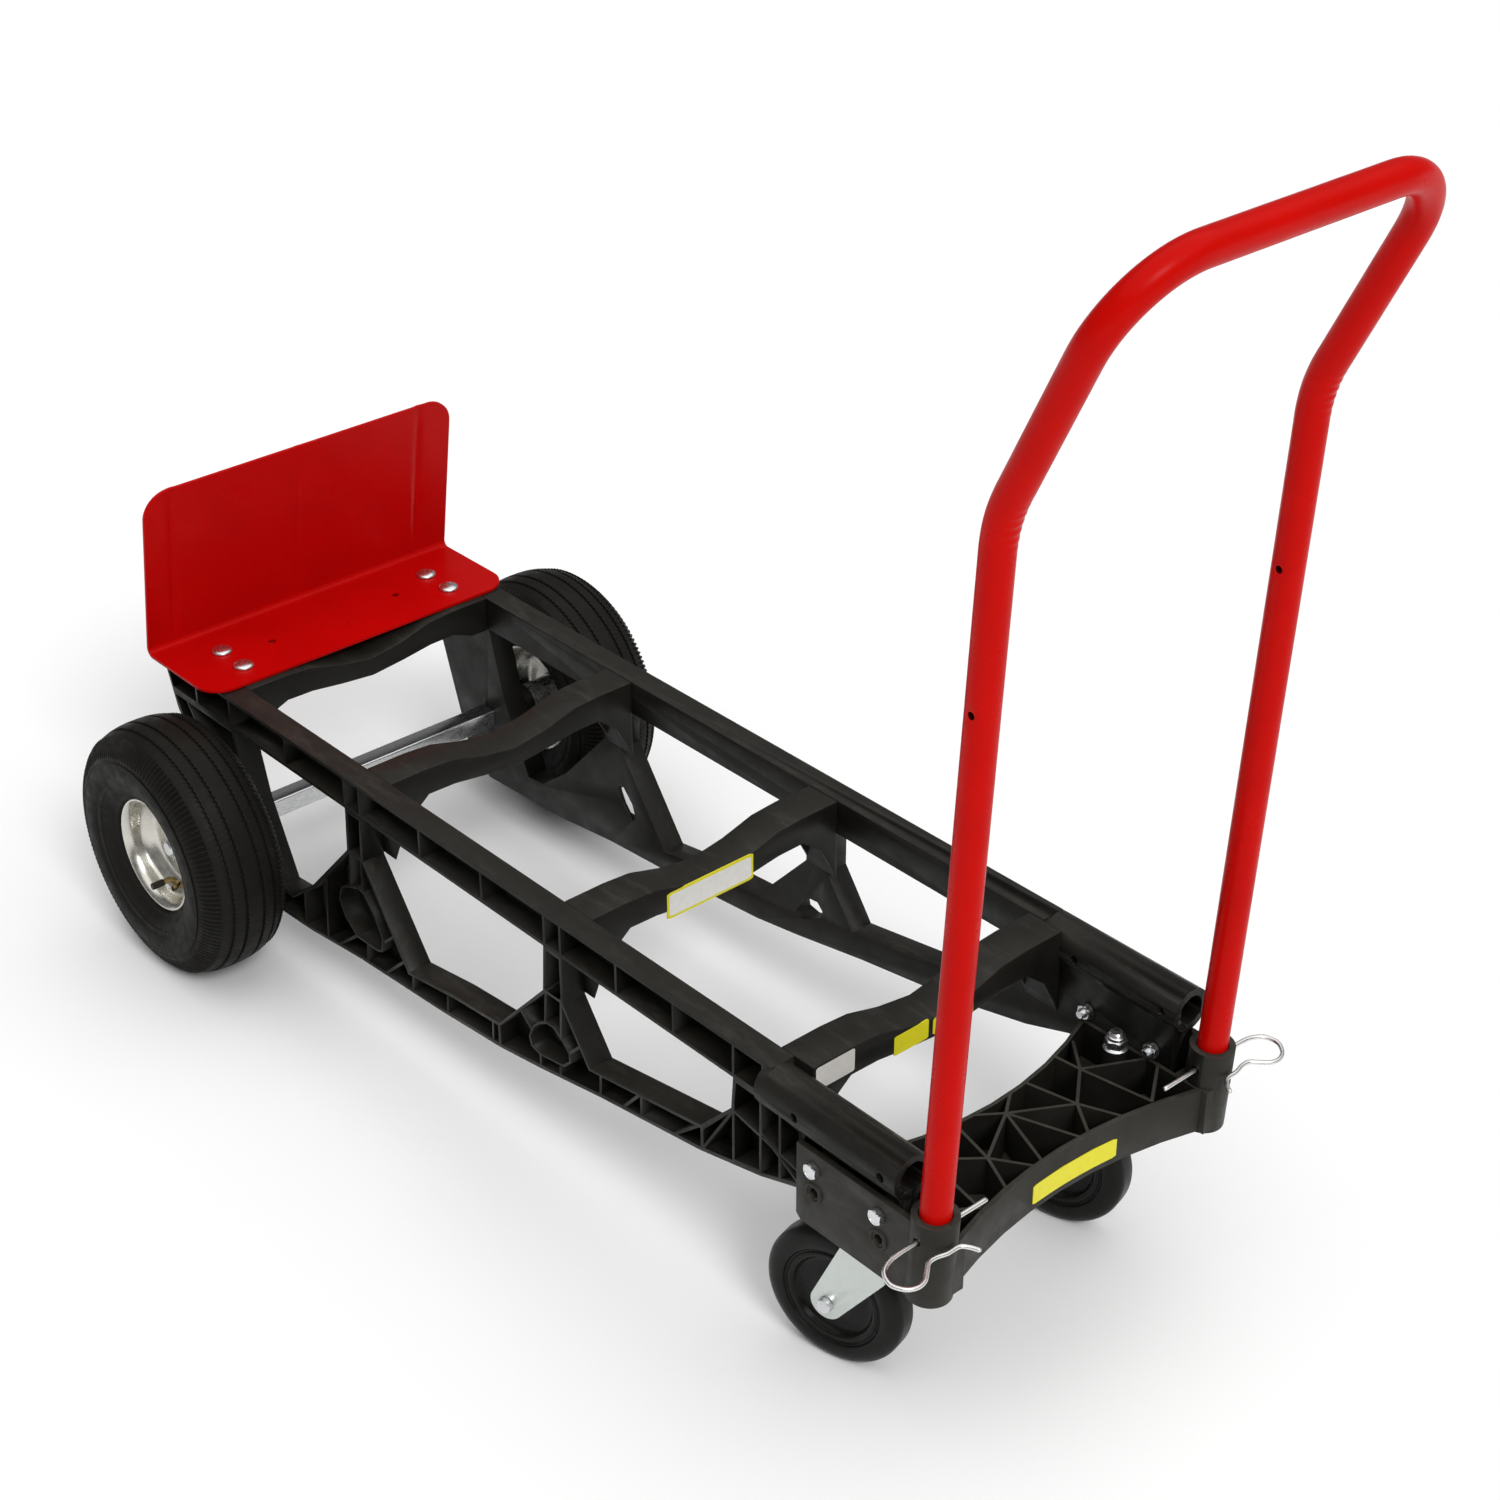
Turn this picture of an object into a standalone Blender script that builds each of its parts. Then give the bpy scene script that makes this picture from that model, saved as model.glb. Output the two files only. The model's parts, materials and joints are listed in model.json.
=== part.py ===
"""Convertible hand truck, standing on four wheels as a platform truck.

+X runs from the toe plate to the push handle, Y across the truck, +Z up. The origin is on the
floor, under the middle of the bounding box. "Left" is -Y, the left hand of someone who stands
behind the handle. Lengths below are millimetres; meshes are written in metres.
"""

import math

import bmesh
import bpy
from mathutils import Matrix, Vector

MM = 0.001
GAP = 0.3  # clearance kept between neighbouring pieces
SIDES = ((-1, "left"), (1, "right"))

# Fasteners
BOLT_R = 4.0
BOLT_HOLE_R = 5.0
HEX_ACROSS = 13.0
HEX_HEAD = 5.6
NUT_HIGH = 6.5

# Main frame
DECK = 270.0  # height of the rail tops
RAIL_IN = 143.0  # inner face of a side frame, from the centre line
RAIL_OUT = 167.2
WALL = 3.6  # wall thickness of the mouldings
RIB = 2.8
TOE_SEAT = 0.8  # how far the rail tops step down under the toe plate
BEAM_FLOOR = 233.0  # underside of a cross member at its middle
BEAM_DIP = 17.5  # how far a cross member's top sags in its middle
BEAM_FRONTS = {"toe": (-594.0, -479.0), "front": (-282.0, -244.0), "middle": (11.5, 49.5), "rear": (288.0, 326.0)}

# Toe plate
SHEET = 3.0
TOE_HALF = 180.5
TOE_BEND_X = -601.0
TOE_FRONT_X = -487.0
TOE_RISE = 179.6
TOE_LEAN = math.radians(8.8)
TOE_BOLT_X = (-557.0, -517.5)
TOE_BOLT_Y = 124.0
TOE_CORNER = 28.0  # radius of the sheet's corners
TOE_INNER_BEND = 5.0
TOE_HOLE = (-543.0, 75.0)  # a spare hole, also mirrored

# Main wheels
WHEEL_X = -484.6
WHEEL_Y = 231.7
WHEEL_R = 129.0
TYRE_HALF = 48.0
AXLE_R = 8.0
HUB_IN, HUB_OUT = -41.0, 8.0  # ends of the hub sleeve, from the wheel's middle plane, outer side positive
AXLE_END = 249.0
AXLE_TUBE_HALF, AXLE_TUBE_WALL = 10.0, 1.6
SPLIT_PIN_Y = AXLE_END - 4.5
BEARING_PITCH = 36.0  # between a hub's two bearings
VALVE_SEAT = 12.0  # where the valve leaves the rim, outward from the wheel's middle plane
VALVE_TIP = 38.0
VALVE_RING = 35.5  # radius at which the bent stem points outward
VALVE_AT = math.radians(-92)  # where the valve stands on the rim
BOSS_END = 190.0  # the side frame's axle boss ends here, from the centre line

# Handle and its sockets
LEG_Y = 159.5
TUBE_R = 12.7
TUBE_WALL = 1.6
LEG_SLOPE = 0.0514  # forward lean of the legs, in X per Z
PIN_Z = 212.0
PIN_X = 479.3
LEG_BOTTOM = 157.0
BEND_Z = 821.4
BAR_X, BAR_Z = 601.0, 1010.6
BEND_R, CORNER_R = 130.0, 68.0
SOCKET_R = 19.0
SOCKET_LOW, SOCKET_HIGH = 150.5, 230.0
RECEIVER_R, RECEIVER_Z = 20.0, 250.0
RECEIVER_START, RECEIVER_END = 296.0, 455.0
CLIP_WIRE_R = 2.0
UPPER_HOLE_Z = 677.0
PIN_HOLE_R = 3.4

# End frame
END_TOE_X = 340.0
LATTICE_LOW, LATTICE_HIGH = 154.0, 196.0
SIDE_PLATE_IN, SIDE_PLATE_OUT = 167.5, 173.0
SIDE_PLATE_LOW, SIDE_PLATE_HIGH = 146.5, 222.0
END_BOLT_X = (360.2, 433.2)
END_BOLT_Z = 206.7
END_BOLT_LONG = 42.0
SPARE_HOLE_Z = 182.5

# Casters
STEM_X, STEM_Y = 402.0, 131.6
MOUNT_Z = 151.0
CASTER_R = 65.0
CASTER_HALF = 14.5
TRAIL = 43.0
CASTER_YAW = math.radians(14.0)
STUD_R, STUD_TOP = 6.2, 213.0


# ---------------------------------------------------------------- helpers


def clear_scene():
    for item in list(bpy.data.objects):
        bpy.data.objects.remove(item)


def make_look(name, colour, roughness, metallic):
    look = bpy.data.materials.new(name)
    look.use_nodes = True
    shader = look.node_tree.nodes["Principled BSDF"]
    shader.inputs["Base Color"].default_value = (*colour, 1.0)
    shader.inputs["Roughness"].default_value = roughness
    shader.inputs["Metallic"].default_value = metallic
    return look


def solid(name, points, faces, look, smooth_angle=None):
    """One closed body from points in millimetres."""
    mesh = bpy.data.meshes.new(name)
    mesh.from_pydata([Vector(point) * MM for point in points], [], faces)
    work = bmesh.new()
    work.from_mesh(mesh)
    bmesh.ops.recalc_face_normals(work, faces=work.faces)
    work.to_mesh(mesh)
    work.free()
    mesh.materials.append(look)
    if smooth_angle is not None:
        mesh.shade_smooth()
        mesh.set_sharp_from_angle(angle=math.radians(smooth_angle))
    item = bpy.data.objects.new(name, mesh)
    bpy.context.collection.objects.link(item)
    return item


def prism(name, outline, axis, low, high, look):
    """An outline pushed along an axis: (x, z) for Y, (y, z) for X, (x, y) for Z."""
    place = {
        "X": lambda u, v, w: (w, u, v),
        "Y": lambda u, v, w: (u, w, v),
        "Z": lambda u, v, w: (u, v, w),
    }[axis]
    count = len(outline)
    points = [place(u, v, low) for u, v in outline] + [place(u, v, high) for u, v in outline]
    faces = [list(range(count)), list(range(count, 2 * count))]
    for i in range(count):
        j = (i + 1) % count
        faces.append([i, j, j + count, i + count])
    return solid(name, points, faces, look)


def circle(radius, sides, turn=0.0):
    step = 2 * math.pi / sides
    return [(radius * math.cos(step * (i + turn)), radius * math.sin(step * (i + turn))) for i in range(sides)]


def hexagon(across):
    return circle(across / math.sqrt(3), 6)


def lofted(name, rings, look, looped=False, smooth_angle=None):
    """Rings of equal point counts joined in order, capped, or looped back to the first ring."""
    count = len(rings[0])
    points = [point for ring in rings for point in ring]
    faces = []
    pairs = [(k, k + 1) for k in range(len(rings) - 1)]
    if looped:
        pairs.append((len(rings) - 1, 0))
    else:
        faces.append(list(range(count)))
        faces.append(list(range((len(rings) - 1) * count, len(rings) * count)))
    for low, high in pairs:
        for i in range(count):
            j = (i + 1) % count
            faces.append([low * count + i, low * count + j, high * count + j, high * count + i])
    return solid(name, points, faces, look, smooth_angle)


def level(outline, height):
    return [(u, v, height) for u, v in outline]


def turned(name, profile, sides, look, axis="Z"):
    """A profile of (along, radius) points turned into a ring that closes on itself."""
    rings = []
    for along, radius in profile:
        flat = circle(radius, sides)
        if axis == "Y":
            rings.append([(u, along, v) for u, v in flat])
        else:
            rings.append([(u, v, along) for u, v in flat])
    return lofted(name, rings, look, looped=True, smooth_angle=35)


def spindle(name, profile, sides, look, axis="Z"):
    """A turned piece that is solid to its axis."""
    rings = []
    for along, radius in profile:
        flat = circle(radius, sides)
        if axis == "Y":
            rings.append([(u, along, v) for u, v in flat])
        else:
            rings.append([(u, v, along) for u, v in flat])
    return lofted(name, rings, look, smooth_angle=35)


def rounded_path(corners, radii, steps):
    """Straight runs between corners, with an arc of the given radius at each inner corner."""
    path = [Vector(corners[0])]
    for before, corner, after, radius in zip(corners, corners[1:], corners[2:], radii):
        here = Vector(corner)
        to_before = (Vector(before) - here).normalized()
        to_after = (Vector(after) - here).normalized()
        half = to_before.angle(to_after) / 2
        middle = (to_before + to_after).normalized()
        centre = here + middle * (radius / math.sin(half))
        start = here + to_before * (radius / math.tan(half)) - centre
        sweep = math.pi - 2 * half
        axis = to_after.cross(to_before).normalized()
        for k in range(steps + 1):
            path.append(centre + Matrix.Rotation(sweep * k / steps, 3, axis) @ start)
    path.append(Vector(corners[-1]))
    return path


def frames_along(path):
    """A pair of axes across the path at each of its points, carried without twist."""
    tangents = []
    for i in range(len(path)):
        ahead = path[min(i + 1, len(path) - 1)]
        behind = path[max(i - 1, 0)]
        tangents.append((ahead - behind).normalized())
    side = Vector((0, 1, 0)) if abs(tangents[0].y) < 0.5 else Vector((0, 0, 1))
    frames = []
    for tangent in tangents:
        side = (side - tangent * side.dot(tangent)).normalized()
        frames.append((side, tangent.cross(side)))
    return frames


def swept(name, path, radius, sides, look, bore=0.0):
    """A round bar, or a tube with open ends, along a path."""
    frames = frames_along(path)

    def rings_of(size):
        return [
            [point + u * a + v * b for u, v in circle(size, sides)]
            for point, (a, b) in zip(path, frames)
        ]

    if not bore:
        return lofted(name, rings_of(radius), look, smooth_angle=50)
    rings = rings_of(radius) + rings_of(bore)[::-1]
    return lofted(name, rings, look, looped=True, smooth_angle=50)


def rod(name, start, end, radius, sides, look):
    return swept(name, [Vector(start), Vector(end)], radius, sides, look)


def combine(item, tools, operation):
    """A Boolean, applied; the tools are used up."""
    for tool in tools:
        step = item.modifiers.new("step", "BOOLEAN")
        step.operation = operation
        step.solver = "EXACT"
        step.object = tool
        graph = bpy.context.evaluated_depsgraph_get()
        result = bpy.data.meshes.new_from_object(item.evaluated_get(graph))
        item.modifiers.clear()
        item.data = result
        bpy.data.objects.remove(tool)
    return item


def cut(item, tools):
    return combine(item, tools, "DIFFERENCE")


def join(item, tools):
    return combine(item, tools, "UNION")


def shade(item, angle=35):
    item.data.shade_smooth()
    item.data.set_sharp_from_angle(angle=math.radians(angle))


def empty(name, place, parent=None, yaw=0.0):
    item = bpy.data.objects.new(name, None)
    bpy.context.collection.objects.link(item)
    item.location = Vector(place) * MM
    item.rotation_euler = (0, 0, yaw)
    item.parent = parent
    return item


def stand(item, place, turn=None):
    item.location = Vector(place) * MM
    if turn:
        item.rotation_euler = turn
    return item


def nut(name, across, bore, height, look):
    outer, inner = hexagon(across), circle(bore / math.cos(math.pi / 6), 6)
    rings = [level(outer, 0), level(outer, height), level(inner, height), level(inner, 0)]
    return lofted(name, rings, look, looped=True)


def hex_bolt(name, across, head, shank, length, look):
    """The head stands on z = 0 and the shank runs down from it."""
    rings = [
        level(circle(across / 2 - 0.6, 6), head),
        level(hexagon(across), head - 1.0),
        level(hexagon(across), 0),
        level(circle(shank, 6), 0),
        level(circle(shank, 6), -length),
    ]
    return lofted(name, rings, look)


def leg_x(z):
    """Where a handle leg's centre line stands, at a height."""
    return PIN_X + LEG_SLOPE * (z - PIN_Z)


# ---------------------------------------------------------------- main frame

# (x, z) outlines of a side frame, seen from the left
SIDE_OUTLINE = [
    (-598, DECK - TOE_SEAT), (TOE_FRONT_X + 2, DECK - TOE_SEAT), (TOE_FRONT_X + 2, DECK), (304, DECK),
    (304, 250), (452, 250), (452, 193), (340, 171), (291, 154), (216, 135.5),
    (84, 113.5), (-2, 96.5), (-61, 86.5), (-153, 77), (-283, 67.5), (-368, 57), (-490, 50.5),
    (-526, 80.5), (-533, 101.5), (-561, 187), (-580, 218),
]
SIDE_OPENINGS = [
    [(-477, 235), (-457, 160.5), (-420, 82), (-396, 84.5), (-356, 115), (-289, 187.5), (-286.6, 235)],
    [(-261, 235), (-264, 186), (-199, 95.5), (-129, 107), (-60, 113.5), (8, 186.5), (11.3, 235)],
    [(36.3, 235), (36.3, 186), (71.5, 137), (217, 162.5), (255.5, 202.5), (258, 235)],
]
# Pockets that are open to the outside, with the ribs that cross each one
SIDE_POCKETS = [
    (
        [(-594, 266.4), (292, 266.4), (292, 238.6), (-584, 238.6)],
        [((x, 230), (x, 275)) for x in (-540, -480, -384, -286, -262, -168, -76, 13, 35, 110, 184, 258)],
    ),
    (
        [(-582, 231.4), (-480, 231.4), (-461, 161), (-424, 84), (-424, 58.5), (-488, 54.5), (-522, 83),
         (-547, 156), (-557, 188)],
        [((-484.6, 129), (-484.6, 50)), ((-484.6, 129), (-430, 231)), ((-484.6, 129), (-560, 231)),
         ((-484.6, 129), (-570, 110)), ((-484.6, 129), (-420, 70))],
    ),
    (
        [(-421, 80.5), (-395, 80.8), (-353, 112), (-285.5, 185.5), (-283, 231.4), (-264.6, 231.4),
         (-267.5, 185), (-201, 91.8), (-129, 103.3), (-62, 109.8), (-62, 90.2), (-153, 80.8),
         (-283, 71.3), (-368, 60.8), (-421, 58.3)],
        [((-375, 50), (-373, 110)), ((-337, 60), (-330, 140)), ((-322, 62), (-284, 93)),
         ((-269.5, 66), (-267, 93)), ((-247, 66), (-203, 107)), ((-238, 109), (-219, 126)),
         ((-195.6, 70), (-193, 98)), ((-140, 80), (-139, 100)), ((-70.5, 90), (-69.5, 110)),
         ((-292, 187), (-262, 187)), ((-285, 187), (-289, 148)), ((-267, 187), (-269, 150))],
    ),
    (
        [(-58.5, 111), (10.6, 184.4), (14.8, 231.4), (32.8, 231.4), (33, 184.4), (69, 134), (140, 146),
         (217, 159), (217, 139.4), (140, 127), (84, 117.3), (-2, 100.4), (-58.5, 90.6)],
        [((-27, 147), (-10, 132)), ((12, 190), (9, 150)), ((33, 190), (31, 147)), ((10, 187), (36, 187)),
         ((0, 98), (0, 112)), ((28.3, 102), (28.5, 115)), ((43, 138), (62, 157)), ((84, 108), (85.5, 142)),
         ((110, 115), (140, 150)), ((140, 120), (140, 150)), ((180, 130), (217, 162))],
    ),
    (
        [(220.5, 159.5), (258.5, 201.5), (261.5, 231.4), (292, 231.4), (336, 226), (336, 174),
         (291, 158), (220.5, 140.6)],
        [((258, 130), (258, 232)), ((291, 130), (291, 240)), ((314, 140), (314, 240)),
         ((220, 140), (258, 201)), ((258, 201), (340, 185)), ((291, 200), (336, 174)), ((258, 150), (291, 158))],
    ),
    (
        [(343, 227), (448.4, 227), (448.4, 196), (343, 175.4)],
        [],
    ),
]
# Thin-walled bosses that stand in the pockets: the outline of each, and of the slot in the web behind it
CLAMP_BOSSES = [
    (
        [(-311, 122), (-306, 138), (-297, 144.5), (-275, 153), (-266, 151), (-252, 134), (-239, 111), (-243, 95),
         (-251, 92), (-284, 91), (-303, 105)],
        [(-270, 138), (-264, 145), (-248, 128), (-243, 113), (-249, 108), (-262, 122)],
    ),
    (
        [(-16, 124), (-10, 138), (-1, 147.5), (10, 154), (21, 155), (33, 147), (44, 136), (44, 127), (34, 117.5),
         (0, 111.5), (-13, 114.5)],
        [(-6, 122), (3, 135), (14, 146), (24, 147), (31, 140), (28, 131), (12, 122), (0, 117)],
    ),
]
BOSS_WALL = 2.6
RECEIVER_PIN_X = (343.0, 439.5)


def side_frame(name, side, look):
    """A side frame: a web at the inner plane with flanges and ribs that reach the outer plane."""

    def slab(tag, outline, near, far):
        low, high = sorted((side * near, side * far))
        return prism(tag, outline, "Y", low, high, look)

    def bar_outline(start, end, width):
        along = (Vector(end) - Vector(start)).normalized()
        across = Vector((-along.y, along.x)) * (width / 2)
        a, b = Vector(start), Vector(end)
        return [tuple(a - across), tuple(b - across), tuple(b + across), tuple(a + across)]

    def across_rod(tag, x, z, radius, near, far, sides=12):
        return rod(tag, (x, side * near, z), (x, side * far, z), radius, sides, look)

    def shrunk(outline, wall):
        """The outline drawn in towards its own middle, by about the wall's thickness."""
        centre = sum((Vector(point) for point in outline), Vector((0, 0))) / len(outline)
        inner = []
        for point in outline:
            arm = Vector(point) - centre
            inner.append(tuple(centre + arm * (1 - wall / arm.length)))
        return inner

    body = slab(name, SIDE_OUTLINE, RAIL_IN, RAIL_OUT)
    cut(body, [slab("opening", outline, RAIL_IN - 4, RAIL_OUT + 4) for outline in SIDE_OPENINGS])
    for outline, ribs in SIDE_POCKETS:
        pocket = slab("pocket", outline, RAIL_IN + WALL, RAIL_OUT + 2)
        stays = [slab("rib", bar_outline(a, b, RIB), RAIL_IN, RAIL_OUT + 5) for a, b in ribs]
        stays += [slab("boss", ring, RAIL_IN, RAIL_OUT + 5) for ring, _ in CLAMP_BOSSES]
        cut(pocket, stays)
        cut(body, [pocket])
    for ring, slot in CLAMP_BOSSES:
        cut(body, [slab("cup", shrunk(ring, BOSS_WALL), RAIL_IN + WALL, RAIL_OUT + 2),
                   slab("slot", slot, RAIL_IN - 5, RAIL_IN + WALL + 1)])
    sleeves = [
        across_rod("boss", WHEEL_X, WHEEL_R, 19.0, RAIL_IN + 1, BOSS_END, 16),
        rod("receiver", (RECEIVER_START, side * LEG_Y, RECEIVER_Z), (RECEIVER_END, side * LEG_Y, RECEIVER_Z),
            RECEIVER_R, 16, look),
    ]
    sleeves += [across_rod("pad", x, END_BOLT_Z, 11.0, RAIL_IN + 1, RAIL_OUT - 0.05, 12) for x in END_BOLT_X]
    join(body, sleeves)
    receiver_mouth = RECEIVER_START + 36
    holes = [
        across_rod("axle_hole", WHEEL_X, WHEEL_R, AXLE_R + GAP, RAIL_IN - 5, BOSS_END + 5),
        rod("bore", (receiver_mouth, side * LEG_Y, RECEIVER_Z), (RECEIVER_END + 5, side * LEG_Y, RECEIVER_Z),
            TUBE_R + 0.5, 16, look),
    ]
    for x in RECEIVER_PIN_X:
        holes.append(across_rod("receiver_pin", x, RECEIVER_Z, BOLT_R, LEG_Y - 30, LEG_Y + 30, 8))
    for x in END_BOLT_X:
        holes.append(across_rod("bolt_hole", x, END_BOLT_Z, BOLT_HOLE_R, RAIL_IN - 5, RAIL_OUT + 5, 6))
    # Room for the end of the rear cross member beside the receiver
    low, high = sorted((side * (RAIL_IN - 20), side * RAIL_IN))
    seat_start, seat_end = RECEIVER_START - 5, BEAM_FRONTS["rear"][1] + GAP
    seat = [(seat_start, low), (seat_end, low), (seat_end, high), (seat_start, high)]
    holes.append(prism("seat", seat, "Z", 220, 280, look))
    cut(body, holes)
    shade(body)
    return body


def beam_top(y):
    """Height of a cross member's top at a distance from the centre line."""
    shoulder = 86.0
    if abs(y) >= shoulder:
        return DECK
    return DECK - BEAM_DIP * (0.5 + 0.5 * math.cos(math.pi * y / shoulder)) ** 0.8


def beam_bottom(y):
    """Height of its underside: a shallow arch, then a gusset that runs down to the side frame."""
    crown, rise, foot = 94.0, 10.0, 186.0
    reach = abs(y)
    if reach <= crown:
        return BEAM_FLOOR + rise * math.sin(0.5 * math.pi * (reach / crown) ** 1.5)
    share = (reach - crown) / (RAIL_IN - crown)
    return BEAM_FLOOR + rise - (BEAM_FLOOR + rise - foot) * share ** 2.2


def cross_member(name, front, back, look, gusset=True):
    """A channel that is open below, between the side frames."""
    end = RAIL_IN - GAP
    stations = [end * math.sin(0.5 * math.pi * k / 6) for k in range(-6, 7)]

    top = [(y, beam_top(y)) for y in stations]
    bottom = [(y, beam_bottom(y) if gusset else max(beam_bottom(y), BEAM_FLOOR)) for y in stations]
    body = prism(name, top + bottom[::-1], "X", front, back, look)
    roof = [(y, z - WALL) for y, z in top[1:-1]]
    hollow = roof + [(roof[-1][0], 150.0), (roof[0][0], 150.0)]
    cutter = prism("hollow", hollow, "X", front + WALL, back - WALL, look)
    ribs = []
    for y in (-100, -34, 34, 100):
        near, far = y - RIB / 2, y + RIB / 2
        ribs.append(prism("rib", [(near, 100), (far, 100), (far, 300), (near, 300)], "X", front, back, look))
    cut(cutter, ribs)
    cut(body, [cutter])
    return body


def toe_member(name, look):
    """The broad cross member under the toe plate, drilled for its four bolts."""
    front, back = BEAM_FRONTS["toe"]
    body = cross_member(name, front, back, look, gusset=False)
    holes = []
    for side in (-1, 1):
        for x in TOE_BOLT_X:
            holes.append(rod("hole", (x, side * TOE_BOLT_Y, DECK - 30), (x, side * TOE_BOLT_Y, DECK + 5),
                             4.6, 8, look))
    return cut(body, holes)


# ---------------------------------------------------------------- toe plate


def toe_plate(look):
    """A sheet folded to an L: a base flange on the frame and an upright that leans over it a little.

    On the flat blank, u runs across and v from the front edge of the base (0) to the top edge.
    """
    base = DECK + GAP
    length = TOE_FRONT_X - TOE_BEND_X
    run = length - TOE_INNER_BEND
    total = length + TOE_RISE
    half_angle = math.radians(90) + TOE_LEAN
    arc = half_angle * TOE_INNER_BEND

    def fold(u, v, depth):
        """Where a point of the blank ends up; depth is measured down from the sheet's upper face."""
        if v <= run:
            return (TOE_FRONT_X - v, u, base + SHEET - depth)
        turn = min((v - run) / TOE_INNER_BEND, half_angle)
        reach = TOE_INNER_BEND + depth
        centre_x, centre_z = TOE_FRONT_X - run, base + SHEET + TOE_INNER_BEND
        x = centre_x - reach * math.sin(turn)
        z = centre_z - reach * math.cos(turn)
        beyond = max(0.0, v - run - arc)
        return (x - beyond * math.cos(half_angle), u, z + beyond * math.sin(half_angle))

    def half_width(v):
        edge = min(v, total - v)
        if edge >= TOE_CORNER:
            return TOE_HALF
        return TOE_HALF - TOE_CORNER + math.sqrt(TOE_CORNER ** 2 - (TOE_CORNER - edge) ** 2)

    corner = [TOE_CORNER * (1 - math.cos(math.radians(angle))) for angle in (0, 30, 60, 90)]
    bends = [run + arc * share for share in (0, 1 / 3, 2 / 3, 1)]
    stations = corner + bends + [total - v for v in reversed(corner)]
    rings = []
    for v in stations:
        w = half_width(v)
        rings.append([fold(-w, v, 0), fold(w, v, 0), fold(w, v, SHEET), fold(-w, v, SHEET)])
    body = lofted("toe_plate", rings, look)
    holes = []
    for side in (-1, 1):
        for x in TOE_BOLT_X:
            holes.append((x, side * TOE_BOLT_Y, BOLT_R + 0.5))
        holes.append((TOE_HOLE[0], side * TOE_HOLE[1], BOLT_R))
    cut(body, [rod("hole", (x, y, base - 5), (x, y, base + 10), r, 8, look) for x, y, r in holes])
    return body


def toe_fasteners(side, tag, zinc):
    for number, x in enumerate(TOE_BOLT_X, 1):
        seat = DECK + GAP + SHEET + GAP
        dome = [(-24.0, BOLT_R), (0.0, BOLT_R), (0.0, 10.0), (2.6, 8.0), (4.4, 3.0)]
        bolt = spindle(f"toe_bolt_{tag}_{number}", dome, 8, zinc)
        stand(bolt, (x, side * TOE_BOLT_Y, seat))
        grip = nut(f"toe_nut_{tag}_{number}", HEX_ACROSS, BOLT_R + GAP, NUT_HIGH, zinc)
        stand(grip, (x, side * TOE_BOLT_Y, DECK - WALL - GAP - NUT_HIGH))


# ---------------------------------------------------------------- main wheels


def axle_parts(zinc):
    """The axle rod, the square tube that spaces the side frames, and the split pins."""
    chamfer = 1.0
    profile = [(-AXLE_END, AXLE_R - chamfer), (-AXLE_END + chamfer, AXLE_R), (AXLE_END - chamfer, AXLE_R),
               (AXLE_END, AXLE_R - chamfer)]
    axle = spindle("axle", profile, 12, zinc, axis="Y")
    cut(axle, [rod("hole", (0, side * SPLIT_PIN_Y, -20), (0, side * SPLIT_PIN_Y, 20), 2.1, 6, zinc)
               for side, _ in SIDES])
    shade(axle)
    stand(axle, (WHEEL_X, 0, WHEEL_R))

    def square(half, y):
        return [(half, y, -half), (half, y, half), (-half, y, half), (-half, y, -half)]

    reach, bore = RAIL_IN - GAP, AXLE_TUBE_HALF - AXLE_TUBE_WALL
    rings = [square(AXLE_TUBE_HALF, -reach), square(AXLE_TUBE_HALF, reach)]
    rings += [square(bore, reach), square(bore, -reach)]
    stand(lofted("axle_tube", rings, zinc, looped=True), (WHEEL_X, 0, WHEEL_R))

    eye_r, eye_z = 3.5, 13.5
    for side, tag in SIDES:
        path = [Vector((0, 0, -14)), Vector((0, 0, 10))]
        for degrees in (60, 120, 180, 240, 285):
            turn = math.radians(degrees)
            path.append(Vector((eye_r * math.sin(turn), 0, eye_z - eye_r * math.cos(turn))))
        pin = swept(f"split_pin_{tag}", path, 1.6, 6, zinc)
        stand(pin, (WHEEL_X, side * SPLIT_PIN_Y, WHEEL_R))


def tyre_profile():
    """The tyre's section, (across, radius): its outside from bead to bead, then its inside back."""
    flank = [(31, 53), (31, 61), (45, 79), (TYRE_HALF, 96), (42, 115), (22, 127.3)]
    outside = flank + [(0, WHEEL_R)] + [(-a, r) for a, r in reversed(flank)]
    liner = [(-26.5, 53), (-26.5, 63), (-40.5, 94), (-24, 117.5)]
    inside = liner + [(-a, r) for a, r in reversed(liner)]
    return outside + inside


def tube_profile():
    """The air tube: a thin skin, open along a seam on its inner side."""
    outer = [(-3, 58), (-21, 63), (-36.5, 93), (-22, 114.3)]
    skin = [(-3, 60.5), (-19, 65), (-34, 93), (-20.5, 112)]
    ring = outer + [(-a, r) for a, r in reversed(outer)]
    lining = skin + [(-a, r) for a, r in reversed(skin)]
    return ring + lining[::-1]


def rim_profile():
    """Half a pressed rim: bead flange, barrel, and a bowl that runs in to the hub."""
    face = [(33.2, 58.5), (33.2, 50.6), (12, 47.2), (4.6, 38), (2.7, 17.4)]
    back = [(GAP, 17.4), (GAP, 38.5), (10, 50), (31.3, 52.6), (31.3, 58.5)]
    return face + back


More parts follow.
